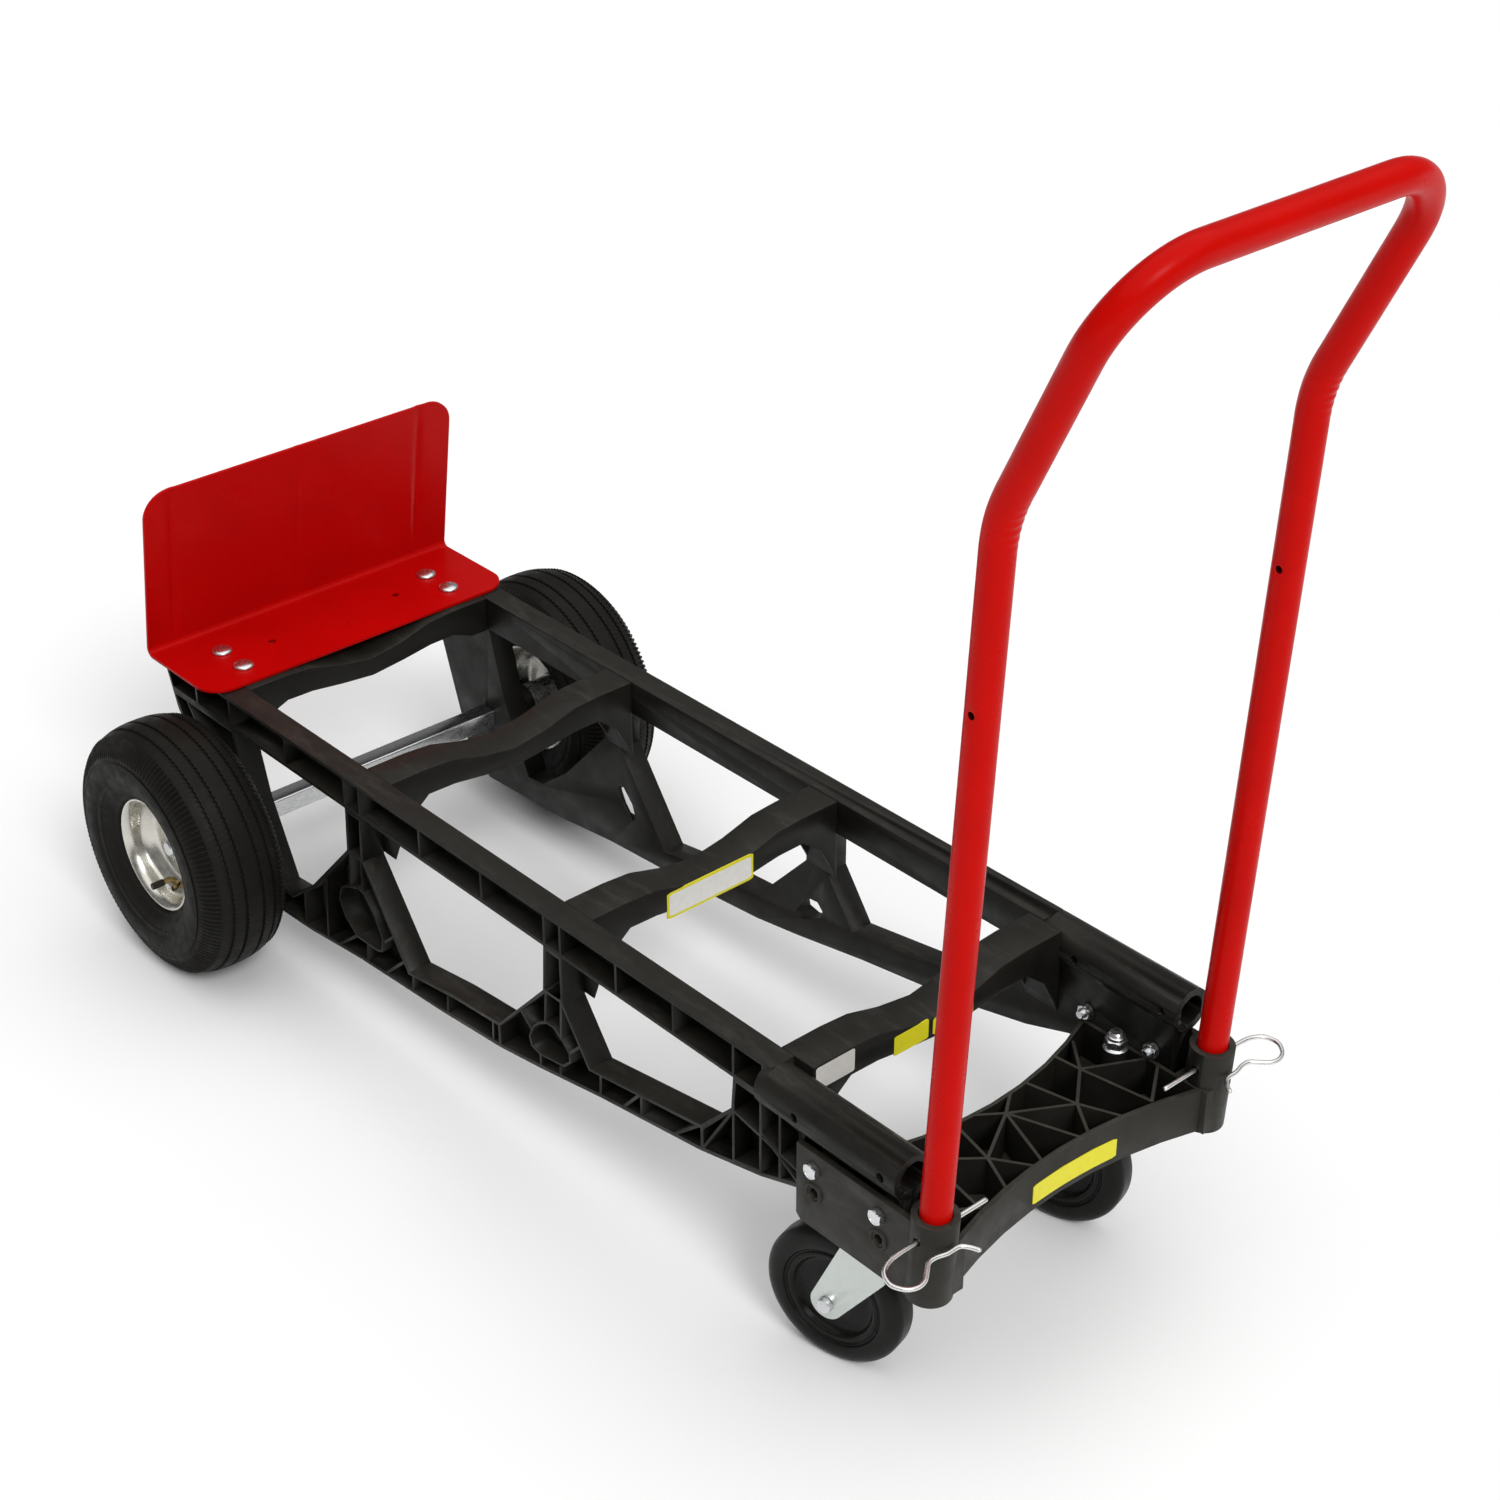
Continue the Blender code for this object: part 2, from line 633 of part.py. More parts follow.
def main_wheel(side, tag, rubber, chrome, zinc, brass):
    """One pneumatic wheel about its own axle; 'outer' faces away from the frame."""
    hub = empty(f"{tag}_wheel", (WHEEL_X, side * WHEEL_Y, WHEEL_R))

    def faced(profile):
        return [(side * a, r) for a, r in profile]

    bearing = [(-3.7, 8.4), (-3.7, 14.6), (7.0, 14.6), (7.0, 8.4)]
    sleeve = [(HUB_IN, 15.0), (HUB_IN, 17.0), (HUB_OUT, 17.0), (HUB_OUT, 15.0)]
    pieces = [
        turned(f"{tag}_tyre", faced(tyre_profile()), 24, rubber, axis="Y"),
        turned(f"{tag}_inner_tube", faced(tube_profile()), 16, rubber, axis="Y"),
        turned(f"{tag}_rim_outer", faced(rim_profile()), 24, chrome, axis="Y"),
        turned(f"{tag}_rim_inner", faced([(-a, r) for a, r in rim_profile()]), 24, chrome, axis="Y"),
        turned(f"{tag}_hub", faced(sleeve), 12, zinc, axis="Y"),
        turned(f"{tag}_bearing_outer", faced(bearing), 12, zinc, axis="Y"),
        turned(f"{tag}_bearing_inner", faced([(a - BEARING_PITCH, r) for a, r in bearing]), 12, zinc, axis="Y"),
    ]
    down = Vector((math.cos(VALVE_AT), 0, math.sin(VALVE_AT)))
    seat = Vector((0, side * VALVE_SEAT, 0))
    rim_outer = pieces[2]
    cut(rim_outer, [rod("hole", down * 40 + seat, down * 60 + seat, 4.4, 8, chrome)])
    shade(rim_outer)
    base, knee = down * 55.5 + seat, down * VALVE_RING + seat
    tip = down * VALVE_RING + Vector((0, side * VALVE_TIP, 0))
    stem = swept(f"{tag}_valve", rounded_path([base, knee, tip], [7.0], 3), 3.2, 6, brass)
    pieces.append(stem)
    for piece in pieces:
        piece.parent = hub


# ---------------------------------------------------------------- end frame

FRONT_BOW = 1.15e-3  # how the front wall bows in, per millimetre
TOE_BOW = 1.5e-3
FRONT_MID, TOE_MID = 465.0, 385.0
FRONT_WALL = 4.6
LATTICE_OUT = RAIL_IN - GAP - 0.3
# Ribs of the lattice, from (x, y) to (x, y); each has a twin across the centre line.
LATTICE = [
    ((402, 0), (432, 52)), ((432, 52), (402, 88)), ((402, 88), (430, 142)), ((402, 0), (462, 22)),
    ((432, 52), (380, 40)), ((432, 52), (468, 68)), ((402, 88), (470, 100)), ((402, 88), (372, 112)),
    ((470, 100), (440, 142)), ((366, 84), (402, 88)), ((432, 52), (465, 30)), ((380, 30), (402, 0)),
]


def bow_line(middle, bow, reach, steps):
    """Points of a bowed edge, from -reach to +reach across."""
    return [(middle + bow * y * y, y) for y in [reach * (2 * k / steps - 1) for k in range(steps + 1)]]


def end_frame(look):
    """The moulding that carries the casters and the handle, open above between its ribs."""
    front = bow_line(FRONT_MID, FRONT_BOW, LATTICE_OUT, 8)
    toe_side = bow_line(TOE_MID, -TOE_BOW, LATTICE_OUT, 8)
    body = prism("end_frame", front + toe_side[::-1], "Z", LATTICE_LOW, LATTICE_HIGH, look)

    inner_front = bow_line(FRONT_MID - FRONT_WALL, FRONT_BOW, LATTICE_OUT - WALL, 8)
    inner_toe = bow_line(TOE_MID + WALL, -TOE_BOW, LATTICE_OUT - WALL, 8)
    well = prism("well", inner_front + inner_toe[::-1], "Z", LATTICE_LOW + WALL, LATTICE_HIGH + 5, look)
    stays = []
    for a, b in LATTICE:
        for side in (-1, 1):
            start, end = Vector((a[0], side * a[1])), Vector((b[0], side * b[1]))
            along = (end - start).normalized()
            across = Vector((-along.y, along.x)) * (RIB / 2)
            start, end = start - along * 0.5, end + along * 0.5
            outline = [tuple(start - across), tuple(end - across), tuple(end + across), tuple(start + across)]
            stays.append(prism("stay", outline, "Z", LATTICE_LOW - 2, LATTICE_HIGH + 8, look))
    cut(well, stays)
    cut(body, [well])

    floor = [(END_TOE_X + 6, -170), (468, -170), (468, 170), (END_TOE_X + 6, 170)]
    slab = prism("slab", floor, "Z", LATTICE_LOW, LATTICE_LOW + 6, look)
    notch = bow_line(TOE_MID, -TOE_BOW, LATTICE_OUT + 12, 8)
    beyond = [(300, LATTICE_OUT + 12), (300, -LATTICE_OUT - 12)]
    open_side = prism("open_side", notch + beyond, "Z", 100, 250, look)
    hollow_front = bow_line(FRONT_MID, FRONT_BOW, LATTICE_OUT + 3, 8)
    open_front = prism("open_front", hollow_front + [(540, LATTICE_OUT + 3), (540, -LATTICE_OUT - 3)], "Z",
                       100, 250, look)
    cut(slab, [open_side, open_front])
    join(body, [slab])

    parts, holes = [], []
    for side, _ in SIDES:
        low, high = sorted((side * SIDE_PLATE_IN, side * SIDE_PLATE_OUT))
        cheek = [(END_TOE_X, SIDE_PLATE_HIGH), (474, SIDE_PLATE_HIGH), (474, SIDE_PLATE_LOW),
                 (END_TOE_X + 5, SIDE_PLATE_LOW), (END_TOE_X, SIDE_PLATE_LOW + 5)]
        parts.append(prism("cheek", cheek, "Y", low, high, look))

        foot = (leg_x(SOCKET_LOW), side * LEG_Y, SOCKET_LOW)
        mouth = (leg_x(SOCKET_HIGH), side * LEG_Y, SOCKET_HIGH)
        parts.append(rod("socket", foot, mouth, SOCKET_R, 16, look))
        low, high = sorted((side * (LATTICE_OUT - 2), side * (LEG_Y - 6)))
        web = [(458, low), (494, low), (494, high), (458, high)]
        parts.append(prism("web", web, "Z", LATTICE_LOW, LATTICE_HIGH, look))
        parts.append(rod("boss", (STEM_X, side * STEM_Y, MOUNT_Z), (STEM_X, side * STEM_Y, LATTICE_HIGH),
                         10.9, 12, look))
        holes.append(rod("stud_hole", (STEM_X, side * STEM_Y, 100), (STEM_X, side * STEM_Y, 300),
                         STUD_R + 0.5, 12, look))
        deep = (leg_x(LEG_BOTTOM - 1), side * LEG_Y, LEG_BOTTOM - 1)
        above = (leg_x(SOCKET_HIGH + 20), side * LEG_Y, SOCKET_HIGH + 20)
        holes.append(rod("bore", deep, above, TUBE_R + 0.6, 16, look))
        drain_low = (leg_x(100), side * LEG_Y, 100)
        drain_high = (leg_x(SOCKET_HIGH), side * LEG_Y, SOCKET_HIGH)
        holes.append(rod("drain", drain_low, drain_high, 6.0, 8, look))
        holes.append(rod("pin_hole", (PIN_X, side * 120, PIN_Z), (PIN_X, side * 200, PIN_Z), PIN_HOLE_R, 8, look))
        for x in END_BOLT_X:
            for z in (END_BOLT_Z, SPARE_HOLE_Z):
                holes.append(rod("hole", (x, side * 160, z), (x, side * 180, z), BOLT_HOLE_R, 6, look))
    join(body, parts)
    cut(body, holes)
    shade(body)
    return body


def end_fasteners(side, tag, zinc):
    out = (math.radians(-90 * side), 0, 0)
    for number, x in enumerate(END_BOLT_X, 1):
        bolt = hex_bolt(f"end_bolt_{tag}_{number}", HEX_ACROSS, HEX_HEAD, BOLT_R, END_BOLT_LONG, zinc)
        stand(bolt, (x, side * (SIDE_PLATE_OUT + GAP), END_BOLT_Z), out)
        grip = nut(f"end_nut_{tag}_{number}", HEX_ACROSS, BOLT_R + GAP, NUT_HIGH, zinc)
        stand(grip, (x, side * (RAIL_IN - GAP - NUT_HIGH), END_BOLT_Z), out)


# ---------------------------------------------------------------- casters


def caster(side, tag, zinc, rubber, core_look):
    """A swivel caster with a threaded stem; its fork trails and its wheel turns on a bolt."""
    place = (STEM_X, side * STEM_Y, 0)
    stem_profile = [(MOUNT_Z - 6.2, 20.0), (MOUNT_Z - 4.6, 26.0), (MOUNT_Z - GAP, 26.0), (MOUNT_Z - GAP, STUD_R),
                    (STUD_TOP, STUD_R)]
    stand(spindle(f"caster_{tag}_stem", stem_profile, 12, zinc), place)
    nut_top = 13.5
    flanged = [(11.0, 0), (11.0, 2.0), (9.6, 3.0), (9.6, 10.5), (8.2, nut_top), (STUD_R + GAP, nut_top),
               (STUD_R + GAP, 0)]
    rings = [level(circle(radius, 12), height) for radius, height in flanged]
    stand(lofted(f"caster_{tag}_lock_nut", rings, zinc, looped=True), (place[0], place[1], LATTICE_HIGH + GAP))

    swivel = empty(f"caster_{tag}_swivel", place, yaw=CASTER_YAW)
    fork = spindle(f"caster_{tag}_fork", [(MOUNT_Z - 15.5, 20.0), (MOUNT_Z - 13.0, 26.5), (MOUNT_Z - 8.0, 26.5),
                                          (MOUNT_Z - 6.6, 19.0)], 12, zinc)
    leg_in, leg_out = 18.3, 21.0
    top = MOUNT_Z - 10.0
    arc = [(-TRAIL + 14.5 * math.cos(math.radians(a)), CASTER_R + 14.5 * math.sin(math.radians(a)))
           for a in range(150, 331, 36)]
    leg = arc + [(11.0, CASTER_R + 46), (11.0, CASTER_R + 57), (18.0, top), (-24.0, top)]
    legs = []
    for hand in (-1, 1):
        low, high = sorted((hand * leg_in, hand * leg_out))
        legs.append(prism("leg", leg, "Y", low, high, zinc))
    crown = [(-24.0, -leg_out), (18.0, -leg_out), (18.0, leg_out), (-24.0, leg_out)]
    legs.append(prism("crown", crown, "Z", top - 3.0, top, zinc))
    join(fork, legs)
    cut(fork, [rod("hole", (-TRAIL, -30, CASTER_R), (-TRAIL, 30, CASTER_R), 4.0 + GAP, 8, zinc)])
    shade(fork)
    fork.parent = swivel

    line = empty(f"caster_{tag}_axle_line", (-TRAIL, 0, CASTER_R), parent=swivel)
    head = leg_out + GAP
    bolt_profile = [(-head - 5.0, 6.4), (-head, 7.0), (-head, 4.0), (head, 4.0), (head, 6.6), (head + 6.0, 6.0)]
    pin = spindle(f"caster_{tag}_axle", bolt_profile, 8, zinc, axis="Y")
    pin.parent = line
    half = CASTER_HALF
    tread = [(-half, 46.6), (-half, 56.0), (-half + 2.5, 61.0), (-half + 8.0, CASTER_R)]
    tread += [(-a, r) for a, r in reversed(tread)]
    hub_half = 17.0
    core = [(-hub_half, 5.2), (-hub_half, 12.5), (-6.0, 18.0), (-6.0, 36.0), (-12.5, 40.0), (-12.5, 46.0)]
    core += [(-a, r) for a, r in reversed(core)]
    wheel = [turned(f"caster_{tag}_tread", tread, 24, rubber, axis="Y"),
             turned(f"caster_{tag}_wheel_core", core, 24, core_look, axis="Y")]
    for piece in wheel:
        piece.parent = line


# ---------------------------------------------------------------- handle and clips


def handle(look):
    """One bent tube, drilled near its feet for the clips and again higher up."""
    corners = [(leg_x(LEG_BOTTOM), -LEG_Y, LEG_BOTTOM), (leg_x(BEND_Z), -LEG_Y, BEND_Z), (BAR_X, -LEG_Y, BAR_Z)]
    corners += [(x, -y, z) for x, y, z in reversed(corners)]
    path = rounded_path(corners, [BEND_R, CORNER_R, CORNER_R, BEND_R], 4)
    body = swept("handle", path, TUBE_R, 12, look, bore=TUBE_R - TUBE_WALL)
    holes = []
    for z in (PIN_Z, UPPER_HOLE_Z):
        for side in (-1, 1):
            x, near, far = leg_x(z), side * (LEG_Y - 20), side * (LEG_Y + 20)
            holes.append(rod("hole", (x, near, z), (x, far, z), PIN_HOLE_R, 8, look))
    cut(body, holes)
    shade(body, 50)
    return body


def hitch_clip(side, tag, look):
    """A bent-wire clip: its straight leg goes through the socket, its sprung leg round the outside."""
    tilt = math.radians(-8)
    drop = Vector((math.cos(tilt), 0, math.sin(tilt)))
    start = Vector((PIN_X, 0, PIN_Z))
    # (distance from the centre line, offset from the straight leg)
    route = [(104, 0), (196, 0), (209, 1.8), (218, 6.5), (222.5, 13.5), (223, 21), (217, 29.5), (208.5, 33),
             (200, 31.5), (192, 25.5), (185, 20.2), (177, 19.6), (167, 21.9), (155, 22.4), (149, 27.5), (145, 34)]
    path = [start + Vector((0, side * y, 0)) + drop * offset for y, offset in route]
    return swept(f"clip_{tag}", path, CLIP_WIRE_R, 6, look)


# ---------------------------------------------------------------- the whole truck


def main():
    clear_scene()
    plastic = make_look("frame_plastic", (0.028, 0.027, 0.026), 0.62, 0.0)
    red = make_look("red_coat", (0.55, 0.008, 0.006), 0.28, 0.0)
    zinc = make_look("zinc", (0.72, 0.73, 0.74), 0.3, 1.0)
    chrome = make_look("rim_steel", (0.8, 0.8, 0.8), 0.16, 1.0)
    rubber = make_look("tyre_rubber", (0.035, 0.034, 0.032), 0.72, 0.0)
    hard_rubber = make_look("caster_rubber", (0.025, 0.025, 0.026), 0.42, 0.0)
    core_look = make_look("caster_core", (0.03, 0.03, 0.031), 0.4, 0.0)
    brass = make_look("brass", (0.6, 0.45, 0.2), 0.3, 1.0)

    for side, tag in SIDES:
        side_frame(f"{tag}_side_frame", side, plastic)
        toe_fasteners(side, tag, zinc)
        main_wheel(side, tag, rubber, chrome, zinc, brass)
        end_fasteners(side, tag, zinc)
        caster(side, tag, zinc, hard_rubber, core_look)
        hitch_clip(side, tag, zinc)
    toe_member("cross_member_toe", plastic)
    for tag in ("front", "middle", "rear"):
        near, far = BEAM_FRONTS[tag]
        cross_member(f"cross_member_{tag}", near, far, plastic)
    toe_plate(red)
    axle_parts(zinc)
    end_frame(plastic)
    handle(red)


main()
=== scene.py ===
"""Looks for the convertible hand truck: its materials, its finer shapes, and the studio round it.

Lengths are millimetres unless a name ends in _m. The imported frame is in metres.
"""

import json
import math

import bmesh
import bpy
from mathutils import Matrix, Vector


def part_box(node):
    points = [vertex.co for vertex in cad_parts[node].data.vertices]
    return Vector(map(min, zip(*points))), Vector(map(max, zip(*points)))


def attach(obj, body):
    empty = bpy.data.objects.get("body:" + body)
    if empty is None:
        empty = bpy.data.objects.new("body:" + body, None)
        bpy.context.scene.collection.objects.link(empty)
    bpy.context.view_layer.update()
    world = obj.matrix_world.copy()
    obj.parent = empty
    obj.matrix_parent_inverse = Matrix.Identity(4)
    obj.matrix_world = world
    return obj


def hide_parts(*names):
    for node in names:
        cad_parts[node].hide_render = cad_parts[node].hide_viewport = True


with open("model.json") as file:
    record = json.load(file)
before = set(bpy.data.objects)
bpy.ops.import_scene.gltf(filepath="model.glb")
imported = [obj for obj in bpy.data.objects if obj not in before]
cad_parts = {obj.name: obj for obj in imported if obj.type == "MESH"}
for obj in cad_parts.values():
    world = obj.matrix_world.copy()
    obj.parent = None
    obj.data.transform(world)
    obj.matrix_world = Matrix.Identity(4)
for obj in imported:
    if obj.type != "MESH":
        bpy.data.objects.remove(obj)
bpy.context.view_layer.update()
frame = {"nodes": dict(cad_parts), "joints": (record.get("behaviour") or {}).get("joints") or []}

MM = 0.001
SIDES = ((-1, "left"), (1, "right"))
LEG_Y = 159.5  # half the distance between the handle's legs
LEG_SLOPE = 0.0514  # how far a leg leans towards +X per millimetre of height
PIN_X, PIN_Z = 479.3, 212.0  # where a clip's wire crosses a leg
END_BOW = 1.15e-3  # bow of the end frame's front wall: its X grows by this times Y squared


# ---------------------------------------------------------------- places read from the frame


def corners(node):
    """Lowest and highest corner of a CAD node, in millimetres."""
    low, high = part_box(node)
    return Vector(low) / MM, Vector(high) / MM


def middle(node):
    low, high = corners(node)
    return (low + high) / 2


def leg_point(side, z):
    """The middle of a handle leg at a height."""
    return Vector((PIN_X + LEG_SLOPE * (z - PIN_Z), side * LEG_Y, z))


# ---------------------------------------------------------------- materials


def scaled(colour, share):
    return tuple(share * c for c in colour)


class Look:
    """A Principled material whose colour, roughness and relief come from noise in the piece's own space."""

    def __init__(self, name, colour, roughness, metallic=0.0, **sockets):
        self.material = bpy.data.materials.new(name)
        self.material.use_nodes = True
        self.nodes = self.material.node_tree.nodes
        self.links = self.material.node_tree.links
        self.shader = self.nodes["Principled BSDF"]
        self.shader.inputs["Base Color"].default_value = (*colour, 1.0)
        self.shader.inputs["Roughness"].default_value = roughness
        self.shader.inputs["Metallic"].default_value = metallic
        for socket, value in sockets.items():
            self.shader.inputs[socket.replace("_", " ")].default_value = value
        self.place = self.nodes.new("ShaderNodeTexCoord").outputs["Object"]
        self.relief = None

    def node(self, kind, **settings):
        made = self.nodes.new(kind)
        for key, value in settings.items():
            setattr(made, key, value)
        return made

    def stretched(self, stretch):
        if stretch == (1, 1, 1):
            return self.place
        mapping = self.node("ShaderNodeMapping")
        mapping.inputs["Scale"].default_value = stretch
        self.links.new(self.place, mapping.inputs["Vector"])
        return mapping.outputs["Vector"]

    def noise(self, size, detail=3.0, rough=0.55, stretch=(1, 1, 1)):
        """Noise whose blobs are about size millimetres across."""
        made = self.node("ShaderNodeTexNoise")
        made.inputs["Scale"].default_value = 1 / (size * MM)
        made.inputs["Detail"].default_value = detail
        made.inputs["Roughness"].default_value = rough
        self.links.new(self.stretched(stretch), made.inputs["Vector"])
        return made.outputs["Fac"]

    def facing_up(self):
        """1 on faces that look up, 0 on walls and undersides."""
        geometry = self.node("ShaderNodeNewGeometry")
        split = self.node("ShaderNodeSeparateXYZ")
        self.links.new(geometry.outputs["Normal"], split.inputs[0])
        return self.ranged(split.outputs["Z"], 0.25, 0.95, 0.0, 1.0)

    def ranged(self, source, low, high, new_low, new_high):
        made = self.node("ShaderNodeMapRange")
        made.clamp = True
        limits = {"From Min": low, "From Max": high, "To Min": new_low, "To Max": new_high}
        for socket, value in limits.items():
            made.inputs[socket].default_value = value
        self.links.new(source, made.inputs["Value"])
        return made.outputs["Result"]

    def times(self, a, b):
        made = self.node("ShaderNodeMath", operation="MULTIPLY")
        self.links.new(a, made.inputs[0])
        self.links.new(b, made.inputs[1])
        return made.outputs[0]

    def colour_towards(self, factor, colour):
        """Blends what the base colour already is towards another colour."""
        made = self.node("ShaderNodeMix", data_type="RGBA")
        base = self.shader.inputs["Base Color"]
        if base.is_linked:
            self.links.new(base.links[0].from_socket, made.inputs["A"])
        else:
            made.inputs["A"].default_value = base.default_value
        made.inputs["B"].default_value = (*colour, 1.0)
        self.links.new(factor, made.inputs["Factor"])
        self.links.new(made.outputs["Result"], base)

    def roughness_from(self, source, low, high):
        self.links.new(self.ranged(source, 0.3, 0.7, low, high), self.shader.inputs["Roughness"])

    def bump(self, height, distance, strength=1.0):
        """Adds relief; distance is its height in millimetres."""
        made = self.node("ShaderNodeBump")
        made.inputs["Distance"].default_value = distance * MM
        made.inputs["Strength"].default_value = strength
        self.links.new(height, made.inputs["Height"])
        if self.relief:
            self.links.new(self.relief, made.inputs["Normal"])
        self.relief = made.outputs["Normal"]
        self.links.new(self.relief, self.shader.inputs["Normal"])


def frame_plastic(name, body, pale, dust_and_top_light):
    """Moulded black plastic with dust in specks. It is paler on top, which is painted light from above, and its
    scuffs, drawn on up-facing faces only, are partly wear and partly painted light.
    """
    look = Look(name, body, 0.5, Specular_IOR_Level=0.2)
    look.colour_towards(look.ranged(look.noise(90, 4), 0.4, 0.7, 0.0, 0.7), pale)
    # Painted light: up-facing faces are made paler in blotches, as if lit from above.
    top_light_blotches = look.ranged(look.noise(35, 3), 0.3, 0.7, 0.35, 0.8)
    look.colour_towards(look.times(look.facing_up(), top_light_blotches), scaled(pale, 1.5))
    # Scuffs on up-facing faces only: partly wear, partly painted light on the tops. The same colour also makes
    # the real dust specks below.
    scuffs_and_top_light = look.ranged(look.noise(14, 6, 0.7, (0.25, 1, 1)), 0.52, 0.72, 0.0, 0.5)
    look.colour_towards(look.times(look.facing_up(), scuffs_and_top_light), dust_and_top_light)
    specks = look.ranged(look.noise(2.4, 3, 0.8), 0.62, 0.76, 0.0, 0.35)
    look.colour_towards(specks, dust_and_top_light)
    look.roughness_from(look.noise(22, 5), 0.36, 0.58)
    look.bump(look.noise(0.9, 2), 0.05, 0.6)
    look.bump(look.noise(40, 2), 0.35, 0.4)
    return look.material


def red_coat(name, colour, deep, pale):
    """Powder coat over steel, with a few chips and dust."""
    look = Look(name, colour, 0.3, Specular_IOR_Level=0.06)
    look.colour_towards(look.ranged(look.noise(60, 3), 0.35, 0.7, 0.0, 0.5), deep)
    chips = look.ranged(look.noise(7, 5, 0.75), 0.735, 0.76, 0.0, 0.8)
    look.colour_towards(chips, (0.06, 0.004, 0.004))
    dust = look.ranged(look.noise(3.2, 2, 0.8), 0.7, 0.82, 0.0, 0.25)
    look.colour_towards(dust, pale)
    look.roughness_from(look.noise(30, 4), 0.24, 0.4)
    look.bump(look.noise(2.6, 1.5), 0.03, 0.4)
    look.bump(look.noise(45, 2), 0.2, 0.3)
    return look.material


def zinc(name, colour=(0.73, 0.74, 0.755), low=0.2, high=0.4, grain=(1, 1, 1)):
    look = Look(name, colour, 0.3, 1.0)
    look.colour_towards(look.ranged(look.noise(5, 4), 0.4, 0.7, 0.0, 0.5), scaled(colour, 0.78))
    look.colour_towards(look.ranged(look.noise(11, 3), 0.55, 0.75, 0.0, 0.3), (0.78, 0.74, 0.6))
    look.roughness_from(look.noise(3.5, 4, 0.6, grain), low, high)
    look.bump(look.noise(1.4, 3, 0.6, grain), 0.03, 0.5)
    return look.material


def fork_zinc():
    look = Look("fork_zinc_look", (0.66, 0.7, 0.67), 0.36, 0.85)
    look.colour_towards(look.ranged(look.noise(9, 4), 0.4, 0.7, 0.0, 0.4), (0.58, 0.63, 0.61))
    look.roughness_from(look.noise(4, 4), 0.3, 0.48)
    look.bump(look.noise(1.2, 3), 0.02, 0.5)
    return look.material


def rim_steel():
    look = Look("rim_steel_look", (0.62, 0.605, 0.55), 0.26, 1.0)
    look.colour_towards(look.ranged(look.noise(14, 4), 0.45, 0.75, 0.0, 0.3), (0.44, 0.425, 0.38))
    look.roughness_from(look.noise(9, 5), 0.2, 0.36)
    look.bump(look.noise(30, 2), 0.3, 0.3)
    look.bump(look.noise(1.2, 3, 0.6), 0.015, 0.5)
    return look.material


def tyre_rubber():
    look = Look("tyre_rubber_look", (0.0072, 0.0068, 0.0055), 0.6, Specular_IOR_Level=0.1)
    look.colour_towards(look.ranged(look.noise(50, 4), 0.4, 0.7, 0.0, 0.7), (0.011, 0.0102, 0.0082))
    look.colour_towards(look.ranged(look.noise(8, 5, 0.7), 0.5, 0.75, 0.0, 0.4), (0.017, 0.0155, 0.012))
    look.roughness_from(look.noise(10, 4), 0.45, 0.68)
    look.bump(look.noise(1.1, 3), 0.08, 0.6)
    look.bump(look.noise(7, 3), 0.15, 0.5)
    return look.material


def hard_rubber(name, colour, low, high):
    look = Look(name, colour, 0.35, Specular_IOR_Level=0.13)
    look.colour_towards(look.ranged(look.noise(25, 4), 0.4, 0.7, 0.0, 0.6), scaled(colour, 1.7))
    look.roughness_from(look.noise(8, 4), low, high)
    look.bump(look.noise(1.6, 2), 0.03, 0.5)
    return look.material


def brass():
    look = Look("valve_brass_look", (0.5, 0.36, 0.16), 0.3, 1.0)
    look.colour_towards(look.ranged(look.noise(3, 4), 0.4, 0.7, 0.0, 0.6), (0.22, 0.15, 0.07))
    look.roughness_from(look.noise(2, 3), 0.25, 0.5)
    look.bump(look.noise(0.8, 2), 0.02, 0.5)
    return look.material


def paper(name, colour, aged):
    look = Look(name, colour, 0.35, Specular_IOR_Level=0.3)
    look.colour_towards(look.ranged(look.noise(6, 4), 0.45, 0.75, 0.0, 0.4), aged)
    look.roughness_from(look.noise(9, 3), 0.28, 0.45)
    look.bump(look.noise(12, 3), 0.12, 0.5)
    return look.material


PLASTIC = frame_plastic(
    "frame_plastic_look", (0.0058, 0.0054, 0.0042), (0.0125, 0.0118, 0.0093), (0.05, 0.047, 0.038))
END_PLASTIC = frame_plastic(
    "end_plastic_look", (0.017, 0.0158, 0.012), (0.027, 0.0255, 0.0205), (0.075, 0.07, 0.058))
YELLOW = paper("yellow_label_look", (0.72, 0.66, 0.015), (0.62, 0.55, 0.03))
WHITE = paper("white_label_look", (0.78, 0.77, 0.73), (0.66, 0.63, 0.56))
HANDLE_RED = red_coat("handle_red_look", (0.54, 0.0026, 0.0008), (0.44, 0.0018, 0.0005), (0.68, 0.045, 0.03))
PLATE_RED = red_coat("plate_red_look", (0.46, 0.0016, 0.0014), (0.38, 0.001, 0.001), (0.55, 0.03, 0.03))
ZINC = zinc("zinc_look")
WIRE = zinc("wire_look", (0.74, 0.735, 0.72), 0.22, 0.36)
BAR = zinc("bar_look", (0.7, 0.71, 0.72), 0.22, 0.36, (1, 0.15, 1))
FORK = fork_zinc()
RIM = rim_steel()
TYRE = tyre_rubber()
TREAD = hard_rubber("tread_look", (0.0075, 0.0072, 0.0066), 0.26, 0.42)
CORE = hard_rubber("core_look", (0.007, 0.0068, 0.0062), 0.2, 0.36)
BRASS = brass()
CAP = hard_rubber("cap_look", (0.025, 0.022, 0.018), 0.4, 0.55)


# ---------------------------------------------------------------- mesh helpers


